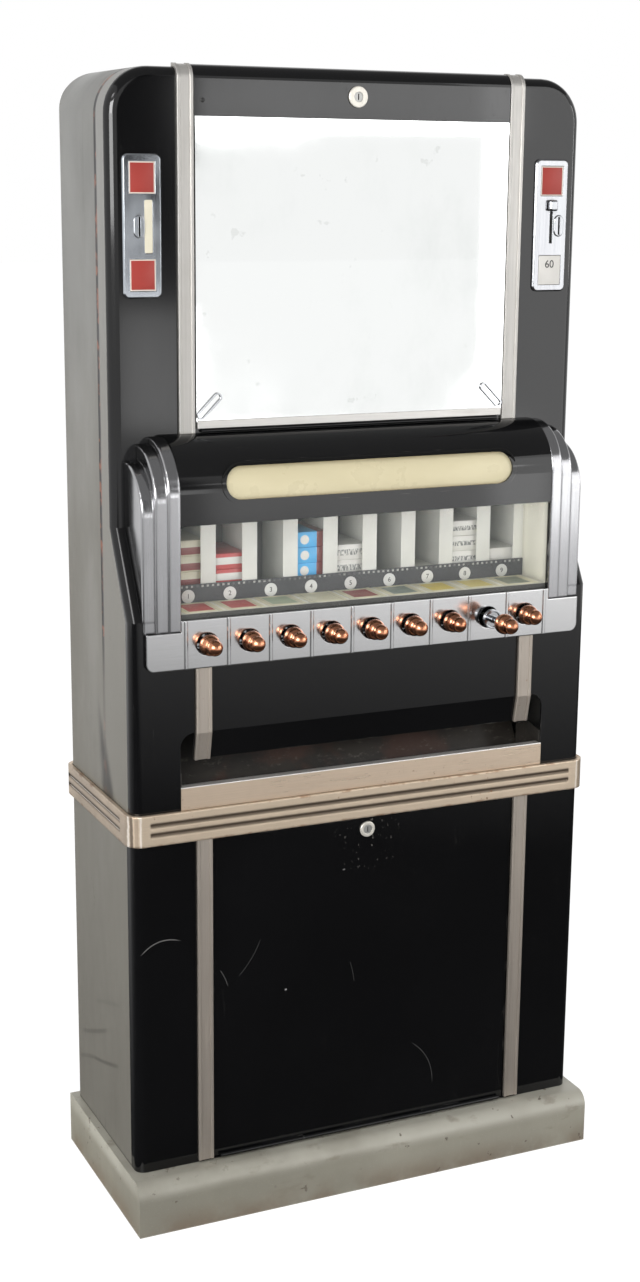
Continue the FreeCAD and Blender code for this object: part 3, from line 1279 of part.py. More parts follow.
# --- Coin plates and coin path ------------------------------------------------------------
def coin_plate(centre_x, boss_x):
    """Bevelled plate with two label recesses and a raised coin boss."""
    z_span = about(PLATE_Z, PLATE_HEIGHT)
    plate = panel(about(centre_x, PLATE_WIDTH), (PLATE_FRONT_Y, UPPER_FRONT_Y), z_span, PLATE_RADIUS)
    plate = plate.makeChamfer(PLATE_BEVEL, front_edges(plate, PLATE_FRONT_Y))
    for z in (PLATE_Z - LABEL_OFFSET, PLATE_Z + LABEL_OFFSET):
        plate = plate.cut(box(
            about(centre_x, LABEL_WIDTH), (PLATE_FRONT_Y - OVERSHOOT, PLATE_FRONT_Y + LABEL_RECESS),
            about(z, LABEL_HEIGHT)))
    boss = pill(
        about(boss_x, BOSS_WIDTH), (PLATE_FRONT_Y - BOSS_PROUD, PLATE_FRONT_Y),
        about(PLATE_Z, BOSS_HEIGHT))
    boss = boss.makeChamfer(BOSS_PROUD / 2, front_edges(boss, PLATE_FRONT_Y - BOSS_PROUD))
    slit = box(
        about(boss_x, SLIT_WIDTH), (PLATE_FRONT_Y - THROUGH, UPPER_FRONT_Y + OVERSHOOT),
        about(PLATE_Z, SLIT_HEIGHT))
    return plate.fuse(boss).cut(slit).removeSplitter()


def coin_plate_left():
    """Left plate, with a shallow window for an indicator strip."""
    x = -PLATE_X
    window = panel(
        about(x - STRIP_WINDOW_OFFSET, STRIP_WINDOW_WIDTH),
        (PLATE_FRONT_Y - OVERSHOOT, PLATE_FRONT_Y + 2 * LABEL_RECESS),
        about(PLATE_Z, STRIP_WINDOW_HEIGHT), STRIP_WINDOW_WIDTH / 4)
    return coin_plate(x, x - LEFT_BOSS_OFFSET).cut(window)


def coin_plate_right():
    """Right plate, with the slot of the coin return slide."""
    slot_z = (
        SLIDE_Z - SLIDE_TRAVEL - SLIDE_NECK_HEIGHT / 2 - EDGE_GAP,
        SLIDE_Z + SLIDE_NECK_HEIGHT / 2 + EDGE_GAP)
    slot = box(
        about(SLIDE_X, SLIDE_NECK_WIDTH + 2 * MOVING_GAP),
        (PLATE_FRONT_Y - THROUGH, UPPER_FRONT_Y + OVERSHOOT), slot_z)
    return coin_plate(PLATE_X, PLATE_X + RIGHT_BOSS_OFFSET).cut(slot)


def coin_return_slide():
    """Thumb knob, neck and shoe of the coin return, sliding down in its slot."""
    knob_back = PLATE_FRONT_Y - BOSS_PROUD - MOVING_GAP
    knob = panel(
        about(SLIDE_X, SLIDE_KNOB_WIDTH), (knob_back - SLIDE_KNOB_PROUD, knob_back),
        about(SLIDE_Z, SLIDE_KNOB_HEIGHT), SLIDE_KNOB_WIDTH / 4)
    knob = knob.makeChamfer(SLIDE_KNOB_WIDTH / 6, front_edges(knob, knob_back - SLIDE_KNOB_PROUD))
    shoe_y = (UPPER_FRONT_Y + MOVING_GAP, UPPER_FRONT_Y + SHEET - MOVING_GAP)
    neck = box(
        about(SLIDE_X, SLIDE_NECK_WIDTH), (knob_back, shoe_y[0]), about(SLIDE_Z, SLIDE_NECK_HEIGHT))
    shoe = box(about(SLIDE_X, SLIDE_SHOE_WIDTH), shoe_y, about(SLIDE_Z, SLIDE_SHOE_HEIGHT))
    return knob.multiFuse([neck, shoe]).removeSplitter()


def coin_mechanism(boss_x):
    """Coin tester behind a plate, with the coin channel down to its duct."""
    front = UPPER_FRONT_Y + SHEET
    body = box(
        MECHANISM_X, (front, front + MECHANISM_DEPTH), (MECHANISM_Z, MECHANISM_Z + MECHANISM_HEIGHT))
    if boss_x < 0:
        body = mirrored(body)
    channel = box(
        about(boss_x, COIN_CHANNEL), (front - OVERSHOOT, front + COIN_CHANNEL_DEPTH),
        (MECHANISM_Z - OVERSHOOT, PLATE_Z + SLIT_HEIGHT / 2 + EDGE_GAP))
    return body.cut(channel)


def coin_mechanisms():
    """Both coin testers."""
    return group([
        coin_mechanism(-PLATE_X - LEFT_BOSS_OFFSET), coin_mechanism(PLATE_X + RIGHT_BOSS_OFFSET)])


def coin_duct():
    """Right coin duct: a channel open at the back, down and inwards to the cash box."""
    turn = DECK_Z - DUCT_TURN_BELOW_DECK
    run = DUCT_X - DUCT_OUTLET_FROM_CENTRE
    path = [
        (DUCT_X, MECHANISM_Z),
        (DUCT_X, turn),
        (DUCT_OUTLET_FROM_CENTRE, turn - run),
        (DUCT_OUTLET_FROM_CENTRE, CASH_BOX_Z + CASH_BOX_HEIGHT + DUCT_ABOVE_BOX),
    ]
    half = DUCT_WIDTH / 2
    y_span = (DUCT_Y, DUCT_Y + DUCT_DEPTH)
    outside = front_profile(ribbon(path, -half, half), y_span)
    bore_y = (y_span[0] + THIN_SHEET, y_span[1] + THIN_SHEET)
    bore = front_profile(ribbon(path, THIN_SHEET - half, half - THIN_SHEET), bore_y)
    return outside.cut(bore)


# --- Named pieces -------------------------------------------------------------------------
PIECES = {
    "base_plinth": base_plinth,
    "lower_wrap": lower_wrap,
    "lower_front_frame": lower_front_frame,
    "lower_strips": lambda: pair(beaded_strip(LOWER_STRIP_CENTRE, lower_strip_outline)),
    "lower_door": lower_door,
    "lower_door_hinge": lower_door_hinge,
    "lower_lock_barrel": lambda: lock_barrel(LOWER_LOCK_Z, FRONT_Y, SHEET, LOWER_COLLAR_RADIUS),
    "lower_lock_plug": lambda: lock_plug(LOWER_LOCK_Z, FRONT_Y),
    "cash_box": cash_box,
    "trim_belt": trim_belt,
    "cabinet_deck": cabinet_deck,
    "upper_wrap": upper_wrap,
    "upper_rear_panel": upper_rear_panel,
    "upper_front_shell": upper_front_shell,
    "upper_strips": lambda: pair(beaded_strip(UPPER_STRIP_CENTRE, upper_strip_outline)),
    "delivery_strips": lambda: pair(beaded_strip(LOWER_STRIP_CENTRE, delivery_strip_outline)),
    "hood": hood,
    "sign_insert": sign_insert,
    "pilasters": lambda: pair(pilaster()),
    "knob_rail": knob_rail,
    "window_glass": window_glass,
    "window_liner": window_liner,
    "label_cards": label_cards,
    "disc_strip": disc_strip,
    "price_discs": price_discs,
    "column_dividers": column_dividers,
    "magazine_back": magazine_back,
    "stocked_packs": stocked_packs,
    "delivery_tray": delivery_tray,
    "tray_lip": tray_lip,
    "coin_plate_left": coin_plate_left,
    "coin_plate_right": coin_plate_right,
    "coin_return_slide": coin_return_slide,
    "coin_mechanisms": coin_mechanisms,
    "coin_ducts": lambda: pair(coin_duct()),
    "mirror_door": mirror_door,
    "mirror_glass": mirror_glass,
    "mirror_trim": mirror_trim,
    "mirror_clips": lambda: pair(mirror_clip()),
    "mirror_door_hinge": mirror_door_hinge,
    "upper_lock_barrel": lambda: lock_barrel(
        UPPER_LOCK_Z, DOOR_FACE_Y, MIRROR_DOOR_PROUD - MOVING_GAP, UPPER_COLLAR_RADIUS),
    "upper_lock_plug": lambda: lock_plug(UPPER_LOCK_Z, DOOR_FACE_Y),
}


def build_all():
    """Every piece under its name, the knobs and slides numbered from the left."""
    shapes = {name: make() for name, make in PIECES.items()}
    for column in range(1, COLUMN_COUNT + 1):
        shapes[f"pull_knob_{column}"] = pull_knob(column)
        shapes[f"ejector_slide_{column}"] = ejector_slide(column)
    return shapes


os.makedirs("parts", exist_ok=True)
for name, shape in build_all().items():
    shape.exportStep(f"parts/{name}.step")
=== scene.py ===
"""Looks of the floor-standing vending machine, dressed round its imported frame.

Lengths are metres in the frame's own axes: +Z up, +X right, and the front faces -Y.
"""

import math
import random

import bmesh
import bpy
from mathutils import Matrix, Vector


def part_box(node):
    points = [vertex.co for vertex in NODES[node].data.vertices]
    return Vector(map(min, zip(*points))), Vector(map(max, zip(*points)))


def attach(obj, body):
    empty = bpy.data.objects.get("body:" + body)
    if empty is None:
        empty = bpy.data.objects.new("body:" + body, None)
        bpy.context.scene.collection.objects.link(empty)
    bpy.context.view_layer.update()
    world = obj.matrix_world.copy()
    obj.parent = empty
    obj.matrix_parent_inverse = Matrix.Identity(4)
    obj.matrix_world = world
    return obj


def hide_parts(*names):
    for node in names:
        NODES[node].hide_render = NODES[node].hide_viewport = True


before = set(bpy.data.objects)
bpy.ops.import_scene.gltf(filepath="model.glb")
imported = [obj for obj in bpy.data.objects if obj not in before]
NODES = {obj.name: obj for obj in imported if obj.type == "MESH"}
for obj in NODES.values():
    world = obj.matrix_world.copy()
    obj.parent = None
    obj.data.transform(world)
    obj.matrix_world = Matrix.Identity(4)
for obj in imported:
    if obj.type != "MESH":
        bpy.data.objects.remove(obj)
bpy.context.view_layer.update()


# --- Places on the machine ----------------------------------------------------------------
def middle(node):
    """Centre of a CAD node's box."""
    low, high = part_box(node)
    return (low + high) / 2


COLUMNS = range(1, 10)
COLUMN_PITCH = 0.061
PACK_HEIGHT = 0.022
PLINTH_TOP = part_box("base_plinth")[1].z
BELT_BOTTOM, BELT_TOP = (corner.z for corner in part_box("trim_belt"))
TRAY_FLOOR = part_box("delivery_tray")[0].z
LEDGE_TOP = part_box("stocked_packs")[0].z
SHELF_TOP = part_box("label_cards")[0].z
SIGN = middle("sign_insert")
PLATE = middle("coin_plate_right")
PLATE_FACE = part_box("coin_plate_right")[0].y
SEAM_Y = -0.0078


def column_x(column):
    """Middle of a column, numbered from 1 at the left to 9."""
    return (column - 5) * COLUMN_PITCH


# --- Shader building ----------------------------------------------------------------------
def shade(colour, share):
    """Colour at a share of its strength."""
    return tuple(share * c for c in colour)


def blend(colour, other, share):
    """Colour a share of the way to another one."""
    return tuple((1 - share) * c + share * o for c, o in zip(colour, other))


class Nodes:
    """Short ways to add nodes to one node tree."""

    def __init__(self, tree):
        self.tree = tree

    def node(self, kind, _setup=None, **inputs):
        """New node. An underscore in an input's name stands for a space."""
        node = self.tree.nodes.new(kind)
        for key, value in (_setup or {}).items():
            setattr(node, key, value)
        for socket, value in inputs.items():
            self.set(node.inputs[socket.replace("_", " ")], value)
        return node

    def set(self, socket, value):
        if isinstance(value, bpy.types.NodeSocket):
            self.tree.links.new(value, socket)
        elif isinstance(value, tuple) and len(value) == 3 and socket.type == "RGBA":
            socket.default_value = (*value, 1)
        else:
            socket.default_value = value

    def math(self, operation, *values):
        node = self.node("ShaderNodeMath", {"operation": operation})
        for socket, value in zip(node.inputs, values):
            self.set(socket, value)
        return node.outputs[0]

    def product(self, first, *others):
        """All the values multiplied together."""
        for value in others:
            first = self.math("MULTIPLY", first, value)
        return first

    def distance(self, a, b):
        """How far apart two values are."""
        return self.math("ABSOLUTE", self.math("SUBTRACT", a, b))

    def hypot(self, a, b):
        """Distance of the point (a, b) from the origin."""
        return self.math("SQRT", self.math("ADD", self.product(a, a), self.product(b, b)))

    def ramp(self, value, low, high, to_low, to_high, shape="LINEAR"):
        """Straight step from to_low to to_high as value goes from low to high."""
        node = self.node("ShaderNodeMapRange", {"interpolation_type": shape}, Value=value)
        for socket, number in zip(node.inputs[1:5], (low, high, to_low, to_high)):
            socket.default_value = number
        return node.outputs[0]

    def span(self, value, low, high, to_low=0.0, to_high=1.0):
        """The same step with soft ends."""
        return self.ramp(value, low, high, to_low, to_high, "SMOOTHSTEP")

    def within(self, value, centre, inner, outer, strength=1.0):
        """strength where value is nearer than inner to centre, down to 0 at outer."""
        return self.span(self.distance(value, centre), inner, outer, strength, 0)

    def between(self, value, low, high, soft):
        """1 between low and high and 0 outside, with edges that are soft on either side."""
        return self.product(
            self.span(value, low - soft, low + soft), self.span(value, high - soft, high + soft, 1, 0))

    def mix_shaders(self, factor, first, second):
        mix = self.node("ShaderNodeMixShader")
        for socket, value in zip(mix.inputs, (factor, first, second)):
            self.set(socket, value)
        return mix.outputs[0]

    def background(self, surface, direct):
        """direct to camera, mirror and glass rays, and surface to all others."""
        path = self.node("ShaderNodeLightPath").outputs
        seen = path["Is Camera Ray"]
        for ray in ("Is Glossy Ray", "Is Transmission Ray"):
            seen = self.math("MAXIMUM", seen, path[ray])
        return self.mix_shaders(seen, surface, direct)


class Shader(Nodes):
    """One material, whose patterns are placed in the frame's own metres."""

    def __init__(self, name, **values):
        self.material = bpy.data.materials.new(name)
        self.material.use_nodes = True
        super().__init__(self.material.node_tree)
        self.bsdf = self.tree.nodes["Principled BSDF"]
        self.output = self.tree.nodes["Material Output"]
        self.place = self.node("ShaderNodeTexCoord").outputs["Object"]
        self.x, self.y, self.z = self.node("ShaderNodeSeparateXYZ", Vector=self.place).outputs
        for socket, value in values.items():
            self.set(self.bsdf.inputs[socket.replace("_", " ")], value)

    def fed(self, socket):
        """What feeds a socket of the Principled BSDF so far."""
        return self.bsdf.inputs[socket].links[0].from_socket

    def colour(self, value):
        self.set(self.bsdf.inputs["Base Color"], value)

    def rough(self, value):
        self.set(self.bsdf.inputs["Roughness"], value)

    def finish(self, normal=None):
        if normal is not None:
            self.set(self.bsdf.inputs["Normal"], normal)
        return self.material

    def mix(self, factor, a, b, kind="MIX"):
        """Colour a where factor is 0 and b, or a blended with b, where it is 1."""
        node = self.node("ShaderNodeMix", {"data_type": "RGBA", "blend_type": kind})
        self.set(node.inputs[0], factor)
        self.set(node.inputs[6], a)
        self.set(node.inputs[7], b)
        return node.outputs[2]

    def noise(self, scale, stretch=(1, 1, 1), detail=4, roughness=0.55, turn=(0, 0, 0)):
        mapped = self.node("ShaderNodeMapping", Vector=self.place, Scale=stretch, Rotation=turn)
        return self.node(
            "ShaderNodeTexNoise", Vector=mapped.outputs[0], Scale=scale, Detail=detail,
            Roughness=roughness).outputs["Fac"]

    def wobble(self, scale, soiling_and_shade):
        """Noise that swings about 0."""
        return self.product(self.math("SUBTRACT", self.noise(scale), 0.5), soiling_and_shade)

    def bump(self, height, distance, strength, before=None):
        """Normal that is roughened by height, on top of an earlier normal where there is one."""
        node = self.node("ShaderNodeBump", Height=height, Distance=distance, Strength=strength)
        if before is not None:
            self.set(node.inputs["Normal"], before)
        return node.outputs[0]

    def edges(self, radius):
        """1 along the solid's outer edges, 0 on its flats."""
        soft = self.node("ShaderNodeBevel", {"samples": 6}, Radius=radius).outputs[0]
        plain = self.node("ShaderNodeNewGeometry").outputs["Normal"]
        dot = self.node("ShaderNodeVectorMath", {"operation": "DOT_PRODUCT"})
        self.set(dot.inputs[0], soft)
        self.set(dot.inputs[1], plain)
        return self.span(self.math("SUBTRACT", 1.0, dot.outputs["Value"]), 0.01, 0.12)

    def crevices(self, distance):
        """1 in corners and grooves, 0 on open faces: a colour darkened by it is painted shade."""
        node = self.node("ShaderNodeAmbientOcclusion", {"samples": 8}, Distance=distance)
        return self.span(node.outputs["AO"], 0.35, 0.95, 1, 0)

    def scratches(self, scale, width, turn, stretch=14.0):
        """Thin broken lines running one way."""
        lines = self.noise(scale, (stretch, stretch, 1), 2, 0.5, turn)
        broken = self.span(self.noise(scale * 1.7, detail=2), 0.56, 0.66)
        return self.product(self.within(lines, 0.5, 0, width), broken)

    def stroke(self, start, end, bow, width, strength, across):
        """One scratch between two points, which are (across, z), bowed to its left."""
        (x0, z0), (x1, z1) = start, end
        length = math.hypot(x1 - x0, z1 - z0)
        ux, uz = (x1 - x0) / length, (z1 - z0) / length
        along = self.math("ADD", self.product(across, ux), self.product(self.z, uz))
        along = self.math("SUBTRACT", along, ux * x0 + uz * z0)
        off = self.math("SUBTRACT", self.product(self.z, ux), self.product(across, uz))
        off = self.math("SUBTRACT", off, ux * z0 - uz * x0)
        arch = self.product(along, self.math("SUBTRACT", length, along), 4 * bow / length ** 2)
        near = self.within(off, arch, width * 0.3, width, strength)
        ends = self.product(
            self.span(along, 0, 0.15 * length), self.span(along, 0.8 * length, length, 1, 0))
        return self.product(near, ends)

    def strokes(self, base, marks, colour, across):
        """base with scratches drawn over it, each as stroke() takes it."""
        for mark in marks:
            base = self.mix(self.stroke(*mark, across), base, colour)
        return base


# --- Enamels ------------------------------------------------------------------------------
def enamel(name, colour, worn, gloss, specular, dusty=0.35):
    """Sprayed enamel: orange peel, soft blotches, fine scratches and rubbed edges.
    """
    s = Shader(name, Specular_IOR_Level=specular)
    blotch = s.span(s.noise(4.0, detail=5), 0.3, 0.75)
    base = s.mix(blotch, shade(colour, 0.72), colour)
    dust = s.span(s.noise(900.0, detail=1), 0.68, 0.78, 0, dusty)
    base = s.mix(dust, base, worn)
    marks = s.math(
        "MAXIMUM", s.scratches(7.0, 0.004, (0.3, 0.2, 0.5)), s.scratches(5.0, 0.003, (1.2, 0.7, 0)))
    faint = s.product(marks, dusty)
    base = s.mix(faint, base, worn)
    rubbed = s.product(s.edges(0.0012), s.span(s.noise(26.0), 0.5, 0.7))
    s.colour(s.mix(rubbed, base, worn))
    smear = s.span(s.noise(6.0, (1, 1, 0.4), 6), 0.3, 0.7, gloss, gloss * 1.9)
    s.rough(s.math("ADD", smear, faint))
    skin = s.bump(s.noise(420.0, detail=2), 0.00002, 0.35)
    return s, skin


BLACK_WORN = (0.1, 0.095, 0.09)
BLACK_PAINT = {
    "colour": (0.0036, 0.0036, 0.004), "worn": BLACK_WORN, "gloss": 0.05, "specular": 0.42, "dusty": 0.1}

# Scratches and streaks: start and end, each (x, z) or on the sides (y, z), then how far the line
# bows, its half width and its strength.
FRAME_SCRATCHES = (
    ((-0.3424, 0.4015), (-0.2806, 0.4149), 0.0112, 0.0012, 0.6),)
DOOR_SCRATCHES = (
    ((-0.2254, 0.3635), (-0.2129, 0.3353), 0.0015, 0.0009, 0.2),
    ((-0.199, 0.347), (-0.1624, 0.403), -0.004, 0.0009, 0.1),
    ((-0.0245, 0.3438), (-0.0168, 0.3088), 0.001, 0.0008, 0.1),
    ((0.0762, 0.1989), (0.1143, 0.1219), 0.012, 0.0009, 0.14),
    ((-0.1262, 0.3163), (-0.123, 0.3171), 0.0, 0.0016, 1.0),
    ((-0.0378, 0.4838), (-0.0332, 0.4845), 0.0, 0.0013, 0.5))
SIDE_STREAKS = (
    ((0.128, 0.192), (-0.002, 0.2459), 0.002, 0.0045, 0.45),
    ((0.138, 0.1467), (0.0651, 0.1744), -0.001, 0.0045, 0.35),
    ((0.08, 0.171), (-0.052, 0.2104), 0.003, 0.0045, 0.5),
    ((0.06, 0.266), (-0.06, 0.305), -0.002, 0.0045, 0.25))
SCUFF_HEIGHT = 0.532
# The (y, z) ends of the slanted line on the front shell where its black meets the sides' grey.
TONE_LINE_FOOT = (-0.1007, 0.868)
TONE_LINE_HEAD = (-0.042, 0.985)


def black_enamel():
    s, skin = enamel("black_gloss", **BLACK_PAINT)
    return s.finish(skin)


def frame_enamel():
    """Gloss black of the lower frame, with the curved scratch on its left panel."""
    s, skin = enamel("black_gloss_frame", **BLACK_PAINT)
    s.colour(s.strokes(s.fed("Base Color"), FRAME_SCRATCHES, (0.2, 0.195, 0.19), s.x))
    return s.finish(skin)


def door_enamel():
    """Gloss black of the storage door, with long scratches and scuffs just below its lock."""
    s, skin = enamel("black_gloss_door", **BLACK_PAINT)
    long_marks = s.math(
        "MAXIMUM", s.scratches(2.2, 0.0012, (0, 0.9, 0.2), 9.0),
        s.scratches(1.7, 0.001, (0, -0.5, 0.1), 9.0))
    base = s.mix(s.product(long_marks, 0.3), s.fed("Base Color"), BLACK_WORN)
    reach = s.hypot(s.x, s.math("SUBTRACT", SCUFF_HEIGHT, s.z))
    scuff = s.product(
        s.span(reach, 0.014, 0.07, 0.5, 0), s.span(s.noise(190.0, (1, 1, 0.7), 5), 0.63, 0.7))
    base = s.mix(scuff, base, (0.2, 0.19, 0.175))
    s.colour(s.strokes(base, DOOR_SCRATCHES, (0.3, 0.295, 0.29), s.x))
    return s.finish(skin)


def seam(s, base):
    """Dark joint between the front shell and the side wrap, with rust along it."""
    line = s.product(
        s.within(s.y, SEAM_Y, 0.0038, 0.0052), s.span(s.z, BELT_TOP + 0.0005, BELT_TOP + 0.0025),
        s.span(s.z, 0.74, 0.86, 0.25, 1))
    rusty = s.span(s.noise(55.0, detail=5), 0.5, 0.6)
    return s.mix(line, base, s.mix(rusty, (0.007, 0.006, 0.006), (0.17, 0.06, 0.032)))


def lower_tone(s, base):
    """Painted shade: browner, darker grey towards the floor, where the sides get less light."""
    return s.mix(s.span(s.z, 0.85, 1.5, 0.95, 0), base, (0.12, 0.113, 0.096))


def soot(s, base):
    """Dark smear on the sides, just above the belt and near the front, that narrows upwards."""
    lean = s.math("ADD", s.product(s.z, 0.3), -0.2)
    narrower = s.product(s.math("SUBTRACT", s.z, 0.61), 0.2)
    drip = s.span(s.math("ADD", s.distance(s.y, lean), narrower), 0.012, 0.036, 1, 0)
    height = s.product(
        s.span(s.z, BELT_TOP - 0.0055, BELT_TOP + 0.0005), s.span(s.z, 0.67, 0.76, 1, 0))
    grain = s.span(s.noise(34.0, (1, 1, 0.35), 6, 0.7), 0.3, 0.5, 0.35, 1.0)
    return s.mix(s.product(drip, height, grain), base, (0.03, 0.028, 0.024))


def grey_enamel():
    """Grey of the sides and the rear, with painted shade towards the floor, runs, streaks, a darker line
    along the plinth, soot and the seam.
    """
    s, skin = enamel("grey_side", (0.182, 0.181, 0.169), (0.36, 0.35, 0.33), 0.3, 0.4)
    # Painted shade: darker towards the floor.
    base = lower_tone(s, s.fed("Base Color"))
    runs = s.product(
        s.span(s.noise(2.2, (14, 14, 1), 5, 0.65), 0.56, 0.7), s.span(s.noise(3.1), 0.5, 0.62, 0, 0.55),
        s.span(s.z, 0.5, 0.62, 0.25, 1))
    base = s.mix(runs, base, (0.07, 0.064, 0.055))
    base = s.strokes(base, SIDE_STREAKS, (0.045, 0.043, 0.036), s.y)
    # A darker line along the foot of the sides, just above the plinth.
    dirt = s.span(s.z, PLINTH_TOP + 0.001, PLINTH_TOP + 0.0035, 0.8, 0)
    base = s.mix(dirt, base, (0.02, 0.019, 0.016))
    rubs = s.product(s.scratches(4.0, 0.006, (0.5, 0, 0), 6.0), s.span(s.z, 0.3, 0.42, 0.7, 0))
    base = s.mix(rubs, base, (0.05, 0.047, 0.04))
    s.colour(seam(s, soot(s, base)))
    return s.finish(skin)


def two_tone_shell():
    """Black front with the grey of the sides behind a line that follows the step."""
    s, skin = enamel("two_tone_shell", **BLACK_PAINT)
    (foot_y, foot_z), (head_y, head_z) = TONE_LINE_FOOT, TONE_LINE_HEAD
    line = s.ramp(s.z, foot_z, head_z, foot_y, head_y)
    depth = s.math("SUBTRACT", s.math("ADD", s.y, s.wobble(40.0, 0.0016)), line)
    grey_part = s.span(depth, -0.0004, 0.0004)
    blotch = s.span(s.noise(3.0, (1, 1, 0.5), 5), 0.3, 0.75)
    grey = s.mix(blotch, (0.178, 0.175, 0.165), (0.212, 0.209, 0.197))
    # The grey part takes the painted shade towards the floor, as the sides do.
    s.colour(seam(s, s.mix(grey_part, s.fed("Base Color"), soot(s, lower_tone(s, grey)))))
    s.rough(s.math("ADD", s.fed("Roughness"), s.product(grey_part, 0.3)))
    return s.finish(skin)


def plinth_enamel():
    """Silver-grey paint, darker along the floor, with a painted highlight along its rounded front top
    edge.
    """
    s, skin = enamel("plinth_grey", (0.277, 0.262, 0.212), (0.48, 0.46, 0.41), 0.27, 0.5)
    # Painted highlight: a lighter band along the plinth's rounded front top edge.
    nose_highlight = s.product(s.span(s.z, 0.048, 0.066), s.span(s.noise(7.0, detail=4), 0.35, 0.65, 0.25, 0.75))
    base = s.mix(nose_highlight, s.fed("Base Color"), (0.4, 0.388, 0.335))
    dark_tint = s.product(s.span(s.z, 0.0, 0.042, 0.75, 0), s.span(s.noise(14.0, detail=6), 0.32, 0.6))
    base = s.mix(dark_tint, base, (0.17, 0.13, 0.092))
    stain = s.span(s.noise(22.0, (1, 1, 2.5), 6), 0.58, 0.72, 0, 0.6)
    base = s.mix(stain, base, (0.19, 0.17, 0.13))
    chips = s.product(
        s.span(s.noise(70.0, detail=5), 0.66, 0.69, 0, 0.85), s.span(s.noise(6.0), 0.42, 0.56))
    s.colour(s.mix(chips, base, (0.08, 0.06, 0.045)))
    return s.finish(skin)


def worn_tray():
    """Black tray rubbed to bare steel where packs slide."""
    s, skin = enamel("worn_tray", (0.012, 0.011, 0.01), (0.2, 0.19, 0.17), 0.3, 0.3)
    low = s.span(s.z, TRAY_FLOOR + 0.02, TRAY_FLOOR + 0.08, 1, 0)
    film = s.product(s.span(s.noise(16.0, (0.4, 1.4, 1), 4), 0.35, 0.65, 0.25, 0.9), low)
    base = s.mix(film, s.fed("Base Color"), (0.05, 0.042, 0.034))
    rust = s.product(s.span(s.noise(9.0, detail=5), 0.56, 0.66, 0, 0.6), low)
    base = s.mix(rust, base, (0.09, 0.04, 0.027))
    rub = s.span(s.noise(110.0, (0.5, 1.5, 1), 7, 0.75), 0.55, 0.68)
    s.colour(s.mix(s.product(rub, low, 0.5), base, (0.2, 0.18, 0.15)))
    return s.finish(skin)


# --- Metals -------------------------------------------------------------------------------
# The grain of a metal runs along the axis in which its noise is stretched.
LENGTHWISE_Z = (700, 700, 9)
LENGTHWISE_X = (9, 700, 700)
POLISH = {"tarnish": (0.14, 0.13, 0.12), "dirt": 0.6, "soft": 0.0008}
ROLLED = {"tarnish": (0.25, 0.22, 0.18), "dirt": 0.35, "metallic": 0.75}
BELT_GROOVES = (BELT_BOTTOM + 0.0158, BELT_BOTTOM + 0.0293)
BELT_RIMS = (BELT_BOTTOM + 0.0007, BELT_TOP - 0.0007)
# Painted reflections round the belt's corners, as bright and dark streaks: where they lie between the
# front, 0, and the side, 1, then half width, colour and strength.
CORNER_REFLECTIONS = (
    (0.9, 0.05, (0.92, 0.87, 0.8), 0.7),
    (0.76, 0.1, (0.09, 0.065, 0.05), 0.8),
    (0.5, 0.16, (0.3, 0.23, 0.17), 0.6),
    (0.24, 0.09, (0.95, 0.88, 0.8), 0.7))


def fill_grooves(s, grime_and_shade_mask, grooves):
    """Soiling and painted shade, which also darken the belt's grooves on its front and sides, but not
    round its corners.
    """
    flats = s.math("MAXIMUM", s.within(s.x, 0, 0.325, 0.329), s.span(s.y, -0.088, -0.084))
    for height in grooves:
        # Painted shade and soiling along each groove.
        filled = s.product(flats, s.within(s.z, height, 0.0012, 0.0056, 0.88))
        grime_and_shade_mask = s.math("MAXIMUM", grime_and_shade_mask, filled)
    return grime_and_shade_mask


def metal_shader(
        name, colour, grain, gloss, tarnish, dirt, metallic=1.0, soft=0.0, rust=0.0,
        grooves=(), rims=(), crest=None):
    """Rolled or drawn metal with a grain, dull patches, soiling and painted shade darkening its corners,
    and specks of rust.

    soft is the radius that its edges seem to be rounded to. grooves, rims and crest are heights:
    of grooves dark with soiling and painted shade, rusty edges and a rubbed top edge.
    """
    s = Shader(name, Metallic=metallic)
    hair = s.noise(1.0, grain, 3, 0.7)
    dull = s.span(s.noise(9.0, detail=6), 0.45, 0.75)
    base = s.mix(s.span(hair, 0.3, 0.7, 0, 0.35), colour, shade(colour, 0.8))
    base = s.mix(s.product(dull, 0.4), base, blend(colour, tarnish, 0.4))
    # Soiling and painted shade: colour darkened where ambient occlusion finds corners and hollows.
    grime_and_shade_mask = s.product(s.crevices(0.005), dirt)
    base = s.mix(fill_grooves(s, grime_and_shade_mask, grooves) if grooves else grime_and_shade_mask, base, tarnish)
    for height in rims:
        bloom = s.product(
            s.within(s.z, height, 0.0006, 0.003, 0.6), s.span(s.noise(60.0, detail=6), 0.48, 0.66))
        base = s.mix(bloom, base, (0.3, 0.15, 0.075))
    if crest is not None:
        base = s.mix(s.span(s.z, crest - 0.0017, crest - 0.0011), base, (0.97, 0.94, 0.9))
    if rust:
        specks = s.product(
            s.span(s.noise(160.0, detail=3), 0.66, 0.72, 0, rust), s.span(s.noise(11.0), 0.5, 0.62))
        base = s.mix(specks, base, (0.22, 0.085, 0.03))
    s.colour(base)
    s.rough(s.math("ADD", s.span(hair, 0.3, 0.7, gloss, gloss * 1.5), s.product(dull, 0.1)))
    rolled = s.node("ShaderNodeBevel", {"samples": 8}, Radius=soft).outputs[0] if soft else None
    s.finish(s.bump(hair, 0.00002, 0.3, rolled))
    return s


def bare_metal(*look, **more):
    """Material of a metal that needs nothing beyond metal_shader()."""
    return metal_shader(*look, **more).material


